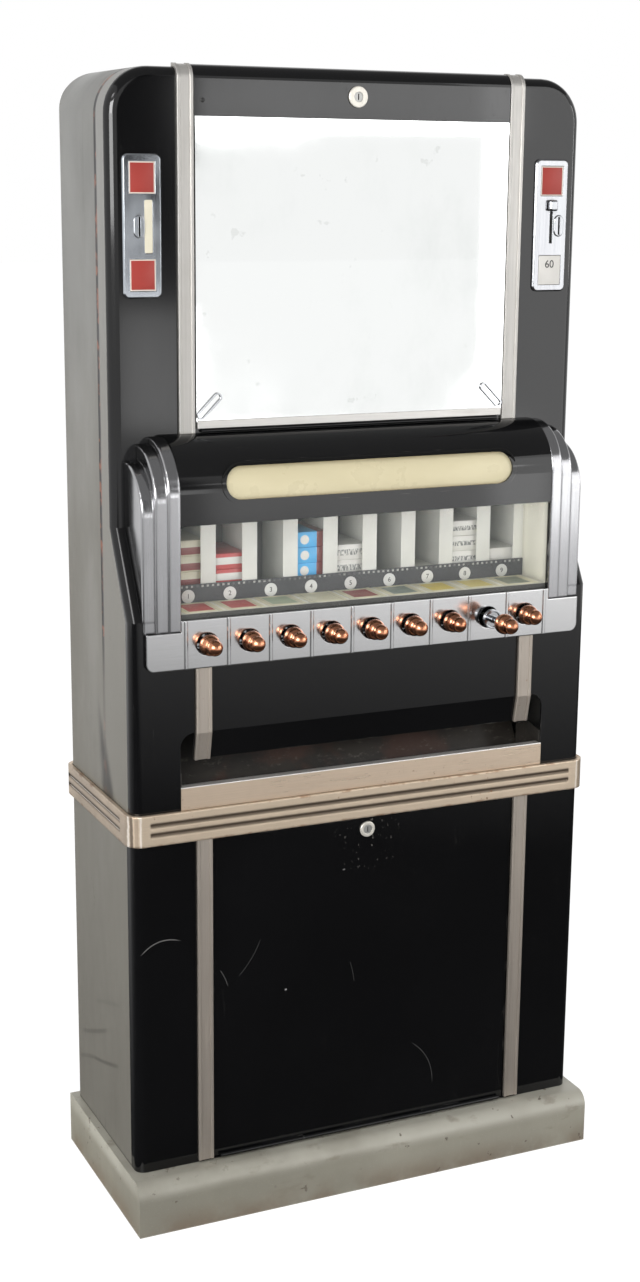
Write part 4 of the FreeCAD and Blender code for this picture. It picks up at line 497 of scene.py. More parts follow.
def belt_metal():
    """Belt with grooves dark with soiling and painted shade, duller sides, and painted reflections round
    its corners, as bright and dark streaks.
    """
    s = metal_shader(
        "belt_aluminium", (0.665, 0.545, 0.415), LENGTHWISE_X, 0.34, tarnish=(0.055, 0.038, 0.026),
        dirt=1.0, metallic=0.7, soft=0.0035, rust=0.9, grooves=BELT_GROOVES, rims=BELT_RIMS)
    side = s.span(s.math("ABSOLUTE", s.x), 0.3535, 0.3545)
    dull = s.product(side, s.span(s.noise(8.0, detail=5), 0.3, 0.6, 0.3, 0.75))
    base = s.mix(dull, s.fed("Base Color"), (0.5, 0.5, 0.53), "MULTIPLY")
    normal = s.node("ShaderNodeNewGeometry").outputs["Normal"]
    sideways = s.math("ABSOLUTE", s.node("ShaderNodeSeparateXYZ", Vector=normal).outputs[0])
    wavy = s.math("ADD", sideways, s.wobble(70.0, 0.12))
    # Painted reflections: bright and dark streaks that follow each corner's turn from front to side.
    for centre, half, colour, strength in CORNER_REFLECTIONS:
        base = s.mix(s.within(wavy, centre, half * 0.4, half, strength), base, colour)
    s.colour(base)
    return s.material


def plate_metal():
    """Left coin plate: a worn bright frame round a polished recess."""
    s = metal_shader("chrome_plate_left", (0.5, 0.53, 0.57), LENGTHWISE_Z, 0.07, **POLISH)
    slot = s.product(s.within(s.x, -PLATE.x, 0.0195, 0.02), s.within(s.z, PLATE.z, 0.03, 0.031))
    rim = s.product(
        s.span(s.y, PLATE_FACE + 0.0007, PLATE_FACE + 0.0009, 1, 0), s.math("SUBTRACT", 1.0, slot))
    s.colour(s.mix(rim, s.fed("Base Color"), (0.78, 0.76, 0.75)))
    s.rough(s.math("ADD", s.fed("Roughness"), s.product(rim, 0.28)))
    return s.material


def copper():
    """Cloudy copper of the knobs, with painted shade darkening their grooves."""
    s = Shader("copper_knob", Metallic=1.0)
    cloud = s.span(s.noise(60.0, detail=4), 0.35, 0.7)
    base = s.mix(cloud, (0.6, 0.265, 0.15), (0.44, 0.185, 0.105))
    # Painted shade: dark where the two balls of each knob meet and in other hollows.
    s.colour(s.mix(s.crevices(0.012), base, (0.06, 0.022, 0.014)))
    s.rough(s.span(s.noise(35.0, detail=5), 0.3, 0.7, 0.16, 0.28))
    return s.finish(s.bump(s.noise(300.0), 0.00003, 0.2))


# --- Glass, plastic and inner paint -------------------------------------------------------
def mirror():
    """Silvered glass with faint smears."""
    s = Shader("mirror_silver", Metallic=1.0)
    smear = s.span(s.noise(3.5, (1, 1, 0.6), 7, 0.65), 0.5, 0.8)
    base = s.mix(smear, (0.905, 0.92, 0.912), (0.8, 0.825, 0.81))
    s.colour(s.mix(s.span(s.noise(40.0, detail=3), 0.68, 0.74, 0, 0.5), base, (0.7, 0.72, 0.7)))
    s.rough(s.span(s.noise(5.0, detail=7), 0.45, 0.8, 0.02, 0.09))
    return s.finish()


def glass():
    """Thin clear pane."""
    s = Shader(
        "window_glass", Base_Color=(0.9, 0.95, 0.93), Alpha=0.03, Roughness=0.02,
        Specular_IOR_Level=0.35)
    return s.finish()


def plastic_sign():
    """Cream backlit plastic, with painted shade browning it along its rounded rim."""
    s = Shader("sign_cream", Specular_IOR_Level=0.4)
    drift = s.span(s.noise(5.0, (1, 1, 3), 5), 0.3, 0.7)
    base = s.mix(drift, (0.65, 0.585, 0.395), (0.59, 0.525, 0.34))
    # Painted shade: browner towards the top and bottom, where the rounded rim turns from the light.
    rim = s.span(s.distance(s.z, SIGN.z), 0.017, 0.023, 0, 0.5)
    s.colour(s.mix(rim, base, (0.42, 0.32, 0.16)))
    s.rough(s.span(s.noise(30.0), 0.3, 0.7, 0.25, 0.4))
    return s.finish(s.bump(s.noise(200.0), 0.00003, 0.2))


def soiled_paint(name, colour, darker, gloss, dark_tint, soiling_and_shade, specular):
    """Plain inner paint or plastic, darkened in its corners by soiling and painted shade. Returns the
    shader and its skin.
    """
    s = Shader(name, Specular_IOR_Level=specular)
    base = s.mix(s.span(s.noise(12.0, detail=5), 0.3, 0.7), colour, darker)
    # Soiling and painted shade: colour darkened in corners found by ambient occlusion.
    s.colour(s.mix(s.product(s.crevices(0.012), soiling_and_shade), base, dark_tint))
    s.rough(s.span(s.noise(20.0, detail=4), 0.3, 0.7, gloss, gloss * 1.3))
    return s, s.bump(s.noise(500.0, detail=2), 0.00002, 0.25)


def paint(name, colour, gloss=0.4, soiling_and_shade=0.4, specular=0.4):
    """Inner paint, plastic or card in one colour."""
    s, skin = soiled_paint(name, colour, shade(colour, 0.86), gloss, (0.1, 0.09, 0.07), soiling_and_shade, specular)
    return s.finish(skin)


def liner():
    """Cream liner of the window, with painted shadow where its front edge stands in the glass channel."""
    s, skin = soiled_paint(
        "liner_cream", (0.92, 0.9, 0.78), (0.84, 0.82, 0.7), 0.4, (0.16, 0.14, 0.09), 0.45, 0.35)
    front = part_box("window_liner")[0].y
    # Painted shadow: a dark band along the liner's front edge at the shelf.
    edge = s.product(
        s.span(s.y, front + 0.0005, front + 0.0009, 1, 0),
        s.span(s.z, SHELF_TOP - 0.0007, SHELF_TOP - 0.0001, 1, 0))
    s.colour(s.mix(edge, s.fed("Base Color"), (0.03, 0.028, 0.024)))
    return s.finish(skin)


def disc_strip():
    """Dark holder of the discs with a row of small pale marks along its top."""
    marks_per_metre = 131.15
    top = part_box("disc_strip")[1].z
    s = Shader("disc_strip_dark", Specular_IOR_Level=0.35)
    cell = s.math("FRACT", s.math("MULTIPLY", s.x, marks_per_metre))
    marks = s.product(s.span(cell, 0.55, 0.6), s.span(s.noise(60.0, detail=1), 0.4, 0.55, 0.1, 0.8))
    row = s.between(s.z, top - 0.00425, top - 0.00125, 0.00025)
    base = s.mix(s.span(s.noise(16.0, detail=5), 0.35, 0.7), (0.05, 0.05, 0.056), (0.075, 0.075, 0.08))
    s.colour(s.mix(s.product(marks, row), base, (0.5, 0.5, 0.47)))
    s.rough(s.span(s.noise(25.0), 0.3, 0.7, 0.35, 0.5))
    return s.finish(s.bump(s.noise(300.0, detail=2), 0.00003, 0.3))


# --- Materials of the CAD nodes -----------------------------------------------------------
BLACK = black_enamel()
GREY = grey_enamel()
STRIP = bare_metal("strip_aluminium", (0.48, 0.465, 0.44), LENGTHWISE_Z, 0.36, soft=0.0016, **ROLLED)
STRIP_LOW = bare_metal(
    "strip_tarnished", (0.445, 0.395, 0.345), LENGTHWISE_Z, 0.36, tarnish=(0.22, 0.18, 0.13),
    dirt=0.35, metallic=0.75, soft=0.0016, rust=0.3)
POLISHED = bare_metal(
    "polished_aluminium", (0.385, 0.385, 0.395), LENGTHWISE_Z, 0.11, tarnish=(0.06, 0.06, 0.062),
    dirt=1.0, soft=0.004)
RAIL = bare_metal(
    "polished_rail", (0.62, 0.62, 0.625), LENGTHWISE_X, 0.1, tarnish=(0.16, 0.14, 0.12),
    dirt=0.4, soft=0.0022)
CHROME = bare_metal("chrome", (0.47, 0.48, 0.5), LENGTHWISE_Z, 0.07, **POLISH)
# Painted shade: a darker, duller copy of the chrome, for the right coin plate and the coin return slide.
CHROME_DULL_SHADED = bare_metal(
    "chrome_dull", (0.36, 0.365, 0.38), LENGTHWISE_Z, 0.13, tarnish=(0.1, 0.1, 0.1), dirt=0.9,
    soft=0.0012)
NICKEL = bare_metal(
    "nickel", (0.74, 0.71, 0.64), LENGTHWISE_Z, 0.28, tarnish=(0.12, 0.1, 0.08), dirt=0.8,
    metallic=0.55, soft=0.001)
STEEL = bare_metal(
    "zinc_steel", (0.48, 0.48, 0.46), LENGTHWISE_Z, 0.35, tarnish=(0.12, 0.11, 0.1), dirt=0.4)
DARK = paint("inner_dark", (0.13, 0.13, 0.126))
DIVIDER = paint("divider_paint", (0.86, 0.86, 0.8), soiling_and_shade=0.25)
DISC = paint("disc_white", (0.8, 0.8, 0.78), 0.3)
INK = paint("number_ink", (0.02, 0.02, 0.02), 0.5)
LABEL_RED = paint("label_red", (0.34, 0.035, 0.025), 0.35)
LABEL_EDGE = paint("label_border", (0.7, 0.62, 0.55), 0.4)
LABEL_WHITE = paint("label_card", (0.72, 0.7, 0.66), 0.5)
STRIP_CREAM = paint("indicator_cream", (0.75, 0.7, 0.55), 0.35)
SCREW = bare_metal(
    "screw_steel", (0.5, 0.49, 0.46), LENGTHWISE_X, 0.3, tarnish=(0.1, 0.08, 0.06), dirt=0.8)
# Near black with little shine, for the rim that paints the shadow round the sign.
SHADOW_RIM_BLACK = paint("shadow_rim_black", (0.004, 0.004, 0.004), 0.6, specular=0.15)
SCREW_DARK = paint("screw_dark", (0.015, 0.015, 0.015), 0.4)

DRESS = {
    "base_plinth": plinth_enamel(),
    "lower_wrap": GREY,
    "upper_wrap": GREY,
    "upper_rear_panel": GREY,
    "lower_front_frame": frame_enamel(),
    "lower_door": door_enamel(),
    "upper_front_shell": two_tone_shell(),
    "hood": BLACK,
    "mirror_door": BLACK,
    "lower_strips": STRIP_LOW,
    "upper_strips": STRIP,
    "delivery_strips": STRIP_LOW,
    "mirror_trim": bare_metal(
        "trim_aluminium", (0.6, 0.585, 0.56), LENGTHWISE_X, 0.3, soft=0.0012, **ROLLED),
    "tray_lip": bare_metal(
        "lip_aluminium", (0.73, 0.585, 0.45), LENGTHWISE_X, 0.26, tarnish=(0.2, 0.17, 0.13),
        dirt=0.4, metallic=0.75, soft=0.001, rust=0.5, crest=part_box("tray_lip")[1].z),
    "trim_belt": belt_metal(),
    "pilasters": POLISHED,
    "knob_rail": RAIL,
    "sign_insert": plastic_sign(),
    "window_glass": glass(),
    "window_liner": liner(),
    "disc_strip": disc_strip(),
    "price_discs": DISC,
    "column_dividers": DIVIDER,
    "magazine_back": DARK,
    "delivery_tray": worn_tray(),
    "cabinet_deck": DARK,
    "cash_box": DARK,
    "mirror_glass": mirror(),
    "coin_plate_left": plate_metal(),
    "coin_plate_right": CHROME_DULL_SHADED,
    "coin_return_slide": CHROME_DULL_SHADED,
    "mirror_clips": CHROME,
    "lower_lock_barrel": NICKEL,
    "upper_lock_barrel": NICKEL,
    "lower_lock_plug": STEEL,
    "upper_lock_plug": STEEL,
    "lower_door_hinge": BLACK,
    "mirror_door_hinge": BLACK,
    "coin_mechanisms": STEEL,
    "coin_ducts": STEEL,
}
KNOB = copper()
for column in COLUMNS:
    DRESS[f"pull_knob_{column}"] = KNOB
    DRESS[f"ejector_slide_{column}"] = CHROME
for node, material in DRESS.items():
    mesh = NODES[node].data
    mesh.materials.clear()
    mesh.materials.append(material)


# --- Added pieces -------------------------------------------------------------------------
def add_piece(name, mesh, materials, body, slot, *replaced):
    """Link a mesh that is already in its place and ride it on its body; slot is not used."""
    for material in materials:
        mesh.materials.append(material)
    piece = bpy.data.objects.new(name, mesh)
    bpy.context.scene.collection.objects.link(piece)
    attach(piece, body)
    if replaced:
        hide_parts(*replaced)


def mesh_from(work, name):
    mesh = bpy.data.meshes.new(name)
    work.to_mesh(mesh)
    work.free()
    return mesh


def add_block(work, low, high, radius, material=0):
    """Rounded block between two corners, added to a bmesh."""
    part = bmesh.new()
    bmesh.ops.create_cube(part, size=1)
    low, high = Vector(low), Vector(high)
    for vertex in part.verts:
        vertex.co = Vector(
            (low[i] + high[i]) / 2 + vertex.co[i] * (high[i] - low[i]) for i in range(3))
    bmesh.ops.bevel(
        part, geom=part.edges[:], offset=radius, segments=2, affect="EDGES", profile=0.5)
    for face in part.faces:
        face.material_index = material
        face.smooth = True
    held = bpy.data.meshes.new("held")
    part.to_mesh(held)
    part.free()
    work.from_mesh(held)
    bpy.data.meshes.remove(held)


def join_rings(work, rings):
    """Smooth faces between each ring of points and the next."""
    for lower, upper in zip(rings, rings[1:]):
        for i in range(len(lower)):
            j = (i + 1) % len(lower)
            work.faces.new((lower[i], lower[j], upper[j], upper[i])).smooth = True


def carton(name, main, band, band_low, band_high, disc=None, side=None, bars=False):
    """Plain carton with a band round each pack, solid or broken into bars, under a clear wrap.

    The band lies between two shares of the pack's height. disc is the (x, colour) of a round
    spot, and side the (x, colour) of all that lies to the right of x.
    """
    s = Shader(name, Specular_IOR_Level=0.5, Coat_Weight=0.6, Coat_Roughness=0.12)
    row = s.math("FRACT", s.math("DIVIDE", s.math("SUBTRACT", s.z, LEDGE_TOP), PACK_HEIGHT))
    inside = s.between(row, band_low, band_high, 0.02)
    if bars:
        inside = s.product(inside, s.span(s.noise(1.0, (620, 1, 140), 1), 0.44, 0.54))
    colour = s.mix(inside, main, band)
    if disc is not None:
        up = s.product(s.math("SUBTRACT", row, 0.5), PACK_HEIGHT)
        reach = s.hypot(s.math("SUBTRACT", s.x, disc[0]), up)
        colour = s.mix(s.span(reach, 0.0062, 0.0070, 1, 0), colour, disc[1])
    if side is not None:
        colour = s.mix(s.span(s.x, side[0], side[0] + 0.0006), colour, side[1])
    soft = s.span(s.noise(30.0, detail=5), 0.3, 0.7, 0, 0.12)
    s.colour(s.mix(soft, colour, (0.3, 0.28, 0.24)))
    s.rough(s.span(s.noise(60.0), 0.3, 0.7, 0.35, 0.5))
    return s.finish(s.bump(s.noise(120.0, detail=2), 0.0001, 0.3))


WHITE, CREAMY = (0.86, 0.85, 0.8), (0.72, 0.68, 0.52)
RED, MAROON, SKY = (0.62, 0.06, 0.06), (0.26, 0.035, 0.035), (0.07, 0.5, 0.95)
# Column: number of packs and their carton. Columns 3 and 6 are sold out.
STACKS = {
    1: (5, carton("carton_1", CREAMY, MAROON, 0.1, 0.55)),
    2: (4, carton("carton_2", RED, WHITE, 0.3, 0.75)),
    4: (5, carton(
        "carton_4", SKY, SKY, 0.4, 0.6, (column_x(4) - 0.006, WHITE), (column_x(4) + 0.012, MAROON))),
    5: (4, carton("carton_5", WHITE, (0.22, 0.23, 0.22), 0.3, 0.68, bars=True)),
    7: (2, carton("carton_7", WHITE, CREAMY, 0.2, 0.4)),
    8: (5, carton("carton_8", WHITE, (0.2, 0.21, 0.2), 0.35, 0.65, bars=True)),
    9: (3, carton("carton_9", WHITE, MAROON, 0.0, 0.16)),
}
PACK_HALF_WIDTH = 0.0269
PACK_DEPTH = 0.0855
PACK_GAP = 0.0001
PACK_ROUNDING = 0.0008
PACK_SHIFT = 0.0006


def add_packs():
    """Cartons on their ledges, a little out of line with one another."""
    draw = random.Random(4)
    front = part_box("stocked_packs")[0].y
    work = bmesh.new()
    materials = []
    for column, (count, material) in STACKS.items():
        for level in range(count):
            x = column_x(column) + draw.uniform(-PACK_SHIFT, PACK_SHIFT)
            y = front + draw.uniform(0, 2 * PACK_SHIFT)
            z = LEDGE_TOP + PACK_HEIGHT * level
            add_block(
                work, (x - PACK_HALF_WIDTH, y, z + PACK_GAP),
                (x + PACK_HALF_WIDTH, y + PACK_DEPTH, z + PACK_HEIGHT - PACK_GAP), PACK_ROUNDING,
                len(materials))
        materials.append(material)
    add_piece(
        "pack_stacks", mesh_from(work, "pack_stacks"), materials, "cabinet", "printed_card",
        "stocked_packs")


CARD_COLOURS = (
    (0.5, 0.07, 0.06), (0.52, 0.08, 0.07), (0.42, 0.5, 0.34), (0.74, 0.7, 0.5),
    (0.32, 0.07, 0.06), (0.24, 0.29, 0.24), (0.75, 0.6, 0.12), (0.74, 0.62, 0.2), (0.24, 0.27, 0.2))
CARD_HALF_WIDTH = 0.0275
CARD_THICKNESS = 0.00035
CARD_LIFT = 0.00005
CARD_CURL = 0.0005
CARD_WAVE = 0.0002
CARD_STEPS = 8
CARD_PANEL_Y = -0.0862


def card(name, colour, centre_x):
    """Card with a coloured panel inside a cream margin with a brown line down each side."""
    s = Shader(name, Specular_IOR_Level=0.3)
    across = s.distance(s.x, centre_x)
    panel = s.product(s.span(across, 0.0185, 0.019, 1, 0), s.within(s.y, CARD_PANEL_Y, 0.0215, 0.022))
    face = s.mix(panel, (0.8, 0.76, 0.55), colour)
    line = s.product(s.within(across, 0.0215, 0.0003, 0.0006), 0.6)
    face = s.mix(line, face, (0.2, 0.17, 0.1))
    s.colour(s.mix(s.span(s.noise(24.0, detail=6), 0.45, 0.8, 0, 0.3), face, (0.5, 0.44, 0.28)))
    s.rough(s.span(s.noise(50.0), 0.3, 0.7, 0.4, 0.6))
    return s.finish(s.bump(s.noise(300.0, detail=2), 0.00005, 0.3))


def add_card(work, column):
    """One thin card, curling a little at its corners: a grid above and below, joined round its edge."""
    low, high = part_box("label_cards")
    half_y = (high.y - low.y) / 2
    middle_y = (high.y + low.y) / 2
    grid = {}
    for top in (0, 1):
        for i in range(CARD_STEPS + 1):
            for j in range(CARD_STEPS + 1):
                u, v = 2 * i / CARD_STEPS - 1, 2 * j / CARD_STEPS - 1
                curl = CARD_CURL * (u * u * v * v) + CARD_WAVE * math.sin(3 * u + column)
                z = low.z + CARD_LIFT + CARD_THICKNESS * top + max(curl, 0)
                x = column_x(column) + u * CARD_HALF_WIDTH
                grid[i, j, top] = work.verts.new((x, middle_y + v * half_y, z))

    def add_face(*corners):
        work.faces.new([grid[corner] for corner in corners]).material_index = column - 1

    for i in range(CARD_STEPS):
        for j in range(CARD_STEPS):
            add_face((i, j, 1), (i + 1, j, 1), (i + 1, j + 1, 1), (i, j + 1, 1))
            add_face((i, j, 0), (i, j + 1, 0), (i + 1, j + 1, 0), (i + 1, j, 0))
    end = CARD_STEPS
    for k in range(CARD_STEPS):
        add_face((k, 0, 0), (k + 1, 0, 0), (k + 1, 0, 1), (k, 0, 1))
        add_face((k, end, 1), (k + 1, end, 1), (k + 1, end, 0), (k, end, 0))
        add_face((0, k, 1), (0, k + 1, 1), (0, k + 1, 0), (0, k, 0))
        add_face((end, k, 0), (end, k + 1, 0), (end, k + 1, 1), (end, k, 1))


def add_cards():
    work = bmesh.new()
    for column in COLUMNS:
        add_card(work, column)
    materials = [
        card(f"card_{column}", colour, column_x(column)) for column, colour in zip(COLUMNS, CARD_COLOURS)]
    add_piece(
        "shelf_cards", mesh_from(work, "shelf_cards"), materials, "cabinet", "printed_card",
        "label_cards")


def add_number(text, place, size):
    """A plain number facing the front."""
    curve = bpy.data.curves.new(f"number_{text}", "FONT")
    curve.body = text
    curve.size = size
    curve.extrude = 0.00008
    curve.align_x = "CENTER"
    curve.align_y = "CENTER"
    curve.materials.append(INK)
    number = bpy.data.objects.new(f"number_{text}", curve)
    bpy.context.scene.collection.objects.link(number)
    number.rotation_euler = (math.pi / 2, 0, 0)
    number.location = place
    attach(number, "cabinet")


def add_numbers():
    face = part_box("price_discs")[0].y
    for column in COLUMNS:
        place = (column_x(column), face - 0.00006, middle("price_discs").z)
        add_number(str(column), place, 0.0095)


LABEL_SIZE = (0.0352, 0.0402)
LABEL_THICKNESS = 0.00045
LABEL_BORDER = 0.0016
LABEL_RELIEF = 0.00012
LABEL_RISE = 0.0615
INDICATOR_SIZE = (0.0108, 0.0672)


def add_label(name, centre_x, centre_z, face_y, size, material, border):
    """Thin label in its recess, with a raised field inside its border where it has one."""
    work = bmesh.new()
    half_x, half_z = size[0] / 2, size[1] / 2
    add_block(
        work, (centre_x - half_x, face_y, centre_z - half_z),
        (centre_x + half_x, face_y + LABEL_THICKNESS, centre_z + half_z), 0.00012, 1 if border else 0)
    if border:
        half_x, half_z = half_x - LABEL_BORDER, half_z - LABEL_BORDER
        add_block(
            work, (centre_x - half_x, face_y - LABEL_RELIEF, centre_z - half_z),
            (centre_x + half_x, face_y + 0.0003, centre_z + half_z), 0.0001)
    add_piece(name, mesh_from(work, name), [material, LABEL_EDGE], "cabinet", "chrome_plate")


def add_labels():
    """Four labels, one plain number and the indicator strip in the coin plates' recesses."""
    face = PLATE_FACE + 0.0017
    high, low = PLATE.z + LABEL_RISE, PLATE.z - LABEL_RISE
    for name, x, z, material in (
            ("label_left_top", -PLATE.x, high, LABEL_RED),
            ("label_left_bottom", -PLATE.x, low, LABEL_RED),
            ("label_right_top", PLATE.x, high, LABEL_RED),
            ("label_right_bottom", PLATE.x, low, LABEL_WHITE)):
        add_label(name, x, z, face, LABEL_SIZE, material, material is LABEL_RED)
    add_number("60", (PLATE.x, face - 0.0001, low + 0.008), 0.015)
    add_label(
        "indicator_strip", -PLATE.x + 0.0083, PLATE.z, face + 0.0001, INDICATOR_SIZE, STRIP_CREAM, False)


def add_screw(name, place, radius, material, body):
    """Round screw head that sits at place and faces the front."""
    x, y, z = place
    height = radius * 0.4
    sides = 20
    work = bmesh.new()
    rings = []
    profile = ((1.0, 0.0), (0.97, 0.35), (0.8, 0.7), (0.5, 0.92))
    for reach, rise in profile:
        ring = []
        for i in range(sides):
            turn = 2 * math.pi * i / sides
            ring.append(work.verts.new((
                x + radius * reach * math.cos(turn), y - height * rise,
                z + radius * reach * math.sin(turn))))
        rings.append(ring)
    join_rings(work, rings)
    work.faces.new(rings[-1]).smooth = True
    work.faces.new(rings[0][::-1])
    bmesh.ops.recalc_face_normals(work, faces=work.faces)
    add_piece(name, mesh_from(work, name), [material], body, "bright_steel")


def add_screws():
    frame_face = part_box("lower_front_frame")[0].y
    add_screw("frame_screw_left", (-0.2285, frame_face, 0.5685), 0.0026, SCREW, "cabinet")
    add_screw("frame_screw_right", (0.2255, frame_face, 0.5685), 0.0026, SCREW, "cabinet")
    add_screw("header_screw", (-0.221, -0.059, 1.535), 0.003, SCREW_DARK, "mirror_door")


def add_sign_gasket():
    """Black rim round the sign, rounded across: a dark piece that stands for the shadow in the sign's
    recess.
    """
    low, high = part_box("sign_insert")
    width, height = 0.0026, 0.0011
    outer = (high.z - low.z) / 2
    inner = outer - width
    reach = high.x - outer
    steps = 16
    work = bmesh.new()
    rings = []
    for radius, y in (
            (outer, low.y), (outer, low.y - 0.0007), (outer - 0.0008, low.y - height),
            (inner + 0.0008, low.y - height), (inner, low.y - 0.0006), (inner, low.y)):
        ring = []
        for side in (1, -1):
            for i in range(steps + 1):
                turn = math.pi * (i / steps - 0.5)
                ring.append(work.verts.new((
                    side * (reach + radius * math.cos(turn)), y, SIGN.z + side * radius * math.sin(turn))))
        rings.append(ring)
    join_rings(work, rings + rings[:1])
    bmesh.ops.recalc_face_normals(work, faces=work.faces)
    add_piece("sign_shadow_rim", mesh_from(work, "sign_shadow_rim"), [SHADOW_RIM_BLACK], "cabinet", "sign_plastic")


add_sign_gasket()
add_packs()
add_cards()
add_numbers()
add_labels()
add_screws()


# --- Stage, camera and light --------------------------------------------------------------
# Angles are in degrees, the focal length is in pixels of the photograph and the sensor in mm.
CAMERA_PLACE = (-1.1588, -2.4771, 1.43825)
CAMERA_YAW, CAMERA_PITCH, CAMERA_ROLL = 24.67, 13.38, 0.52
PHOTO_WIDTH = 640
FOCAL_PIXELS = 1944.54
SENSOR_WIDTH = 36


def make_world():
    """White to camera, mirror and glass rays, and a softer white that lights the object."""
    world = bpy.data.worlds.new("studio")
    bpy.context.scene.world = world
    world.use_nodes = True
    nodes = Nodes(world.node_tree)
    soft = world.node_tree.nodes["Background"]
    nodes.set(soft.inputs["Color"], (1, 1, 1))
    nodes.set(soft.inputs["Strength"], 0.55)
    white = nodes.node("ShaderNodeBackground", Color=(1, 1, 1), Strength=1.0)
    shader = nodes.background(soft.outputs[0], white.outputs[0])
    nodes.set(world.node_tree.nodes["World Output"].inputs["Surface"], shader)


def make_plane(name, corners, material):
    """Flat piece of the stage with four corners."""
    mesh = bpy.data.meshes.new(name)
    mesh.from_pydata(corners, [], [(0, 1, 2, 3)])
    mesh.materials.append(material)
    plane = bpy.data.objects.new(name, mesh)
    bpy.context.scene.collection.objects.link(plane)
    return plane


def make_floor():
    """Pale floor that is white where nothing shades it."""
    s = Shader("floor_white", Base_Color=(0.8, 0.8, 0.8), Roughness=0.9)
    surface = s.bsdf.outputs[0]
    glow = s.node("ShaderNodeEmission", Strength=1.12).outputs[0]
    shader = s.background(surface, s.mix_shaders(0.86, surface, glow))
    s.set(s.output.inputs["Surface"], shader)
    reach = 30.0
    make_plane(
        "floor", [(-reach, -reach, 0), (reach, -reach, 0), (reach, reach, 0), (-reach, reach, 0)],
        s.material)


def make_cloth(s, name, corners, brightness):
    """Studio cloth with the shader s, which shows only in reflections."""
    glow = s.node("ShaderNodeEmission", Strength=brightness)
    s.set(s.output.inputs["Surface"], glow.outputs[0])
    s.tree.nodes.remove(s.bsdf)
    cloth = make_plane(name, corners, s.material)
    cloth.visible_camera = False
    cloth.visible_diffuse = False
    cloth.visible_transmission = False
    cloth.visible_shadow = False


def make_flag():
    """Dark cloth on the floor round the object, which brightens on a slant to the front and rear."""
    s = Shader("flag_cloth")
    slant = s.math("MULTIPLY_ADD", s.x, -0.65, s.y)
    brightness = s.math(
        "MAXIMUM", s.ramp(slant, -1.9, -4.9, 0.05, 1.0), s.ramp(slant, 0.5, 4.5, 0.05, 1.0))
    make_cloth(
        s, "flag", [(-4, -6.5, 0.002), (4, -2.6, 0.002), (4, 6, 0.002), (-4, 2, 0.002)], brightness)


def make_ceiling():
    """Grey cloth overhead."""
    make_cloth(
        Shader("ceiling_cloth"), "ceiling",
        [(-2, -5, 3.6), (4.5, -5, 3.6), (4.5, 1.5, 3.6), (-2, 1.5, 3.6)], 0.3)


def make_blind():
    """Upright cloth at the front right, which fades to dark towards its upper right."""
    s = Shader("blind_cloth")
    slant = s.math("MULTIPLY_ADD", s.x, 1.3, s.z)
    brightness = s.math(
        "MAXIMUM", s.ramp(slant, 2.16, 2.76, 1.0, 0.05), s.ramp(s.x, 0.2, 0.7, 1.0, 0.05))
    make_cloth(
        s, "blind", [(0.2, -3.95, 0.1), (1.24, -3.95, 0.1), (1.24, -3.95, 3.2), (0.2, -3.95, 3.2)],
        brightness)


def make_lamp(name, place, target, size, power, diffuse=True, glossy=True):
    """Rectangular lamp at place, aimed at target, which may light only reflections or only the rest."""
    lamp = bpy.data.lights.new(name, "AREA")
    lamp.shape = "RECTANGLE"
    lamp.size, lamp.size_y = size
    lamp.energy = power
    lamp_object = bpy.data.objects.new(name, lamp)
    bpy.context.scene.collection.objects.link(lamp_object)
    lamp_object.location = place
    lamp_object.rotation_euler = (Vector(target) - Vector(place)).to_track_quat("-Z", "Y").to_euler()
    lamp_object.visible_camera = False
    lamp_object.visible_diffuse = diffuse
    lamp_object.visible_glossy = glossy


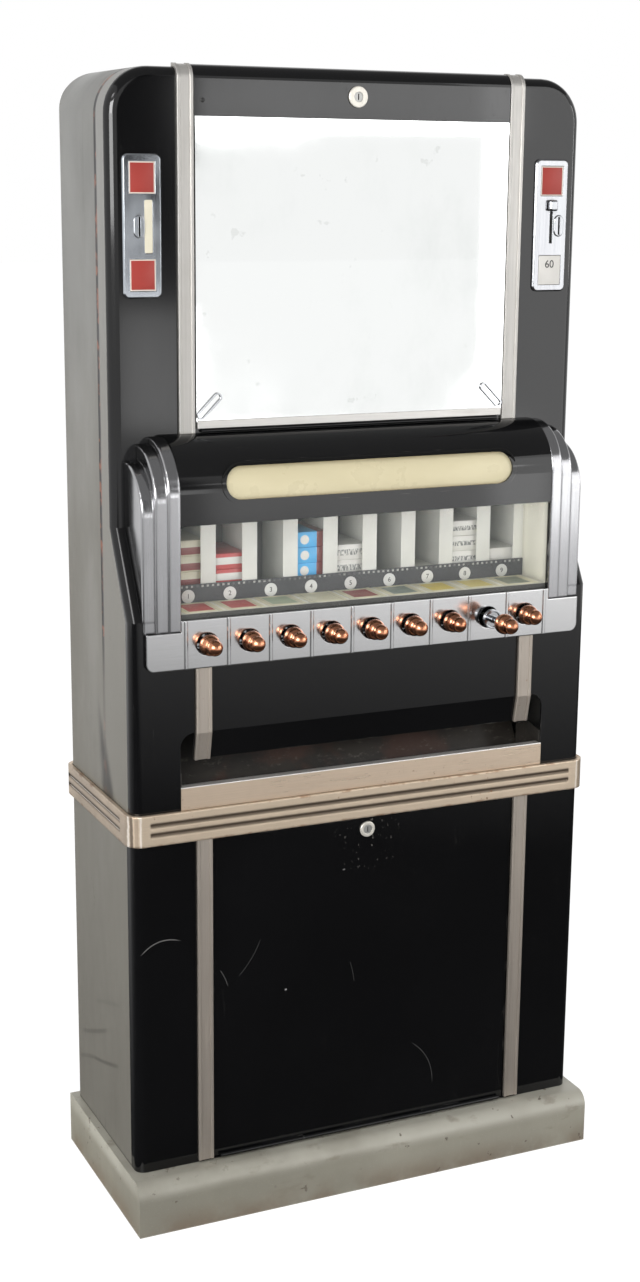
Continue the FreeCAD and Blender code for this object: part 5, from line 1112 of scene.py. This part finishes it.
def make_lamps():
    """Boxes that the enamel and the bright metal mirror, then fill that leaves no highlight."""
    make_lamp("key", (3.2, -3.35, 1.8), (0.1, 0, 1.8), (2.1, 3.2), 37)
    make_lamp("header_box", (1.84, -3.9, 1.71), (0.2, 0, 1.71), (1.12, 0.24), 2.7)
    make_lamp("hood_box", (1.815, -3.9, 0.42), (0.17, 0, 0.42), (1.32, 0.37), 2.35)
    make_lamp("panel_box", (1.1, -3.9, 0.8), (-0.3, 0, 0.8), (0.26, 0.42), 0.85)
    make_lamp("left_box", (-2.9, -2.9, 1.52), (0, 0, 1.52), (2.6, 0.48), 38)
    make_lamp("left_high", (-3.0, -2.3, 3.5), (-0.3, 0, 0.93), (1.1, 0.5), 11)
    make_lamp("right_box", (3.9, -1.95, 1.8), (0.36, 0, 1.5), (0.3, 1.4), 16)
    make_lamp("roll_box", (-2.9, -2.9, 2.1), (0, 0, 2.1), (2.1, 1.5), 160, diffuse=False)
    make_lamp("front", (-2.2, -3.0, 1.3), (0, 0, 1.0), (1.4, 1.2), 20, glossy=False)
    make_lamp("top", (0.0, -0.6, 4.2), (0, 0, 0.8), (3.0, 2.0), 36, glossy=False)
    make_lamp("left_low", (-2.4, -0.2, 0.45), (-0.36, 0, 0.3), (1.0, 0.8), 27, glossy=False)
    make_lamp("rear", (1.0, 3.6, 2.6), (0, 0, 0.9), (2.0, 2.0), 30, glossy=False)


def make_camera():
    """Camera solved from the photograph's straight edges."""
    yaw, pitch, roll = (math.radians(a) for a in (CAMERA_YAW, CAMERA_PITCH, CAMERA_ROLL))
    forward = Vector((
        math.sin(yaw) * math.cos(pitch), math.cos(yaw) * math.cos(pitch), -math.sin(pitch)))
    right = Vector((math.cos(yaw), -math.sin(yaw), 0))
    up = right.cross(forward)
    rolled_right = right * math.cos(roll) + up * math.sin(roll)
    rolled_up = up * math.cos(roll) - right * math.sin(roll)
    lens = bpy.data.cameras.new("camera")
    lens.sensor_fit = "HORIZONTAL"
    lens.sensor_width = SENSOR_WIDTH
    lens.lens = SENSOR_WIDTH * FOCAL_PIXELS / PHOTO_WIDTH
    lens.clip_end = 100
    camera = bpy.data.objects.new("camera", lens)
    bpy.context.scene.collection.objects.link(camera)
    axes = Matrix((rolled_right, rolled_up, -forward)).transposed().to_4x4()
    camera.matrix_world = Matrix.Translation(CAMERA_PLACE) @ axes
    bpy.context.scene.camera = camera


make_world()
make_floor()
make_flag()
make_ceiling()
make_blind()
make_lamps()
make_camera()
bpy.context.scene.view_settings.view_transform = "Standard"
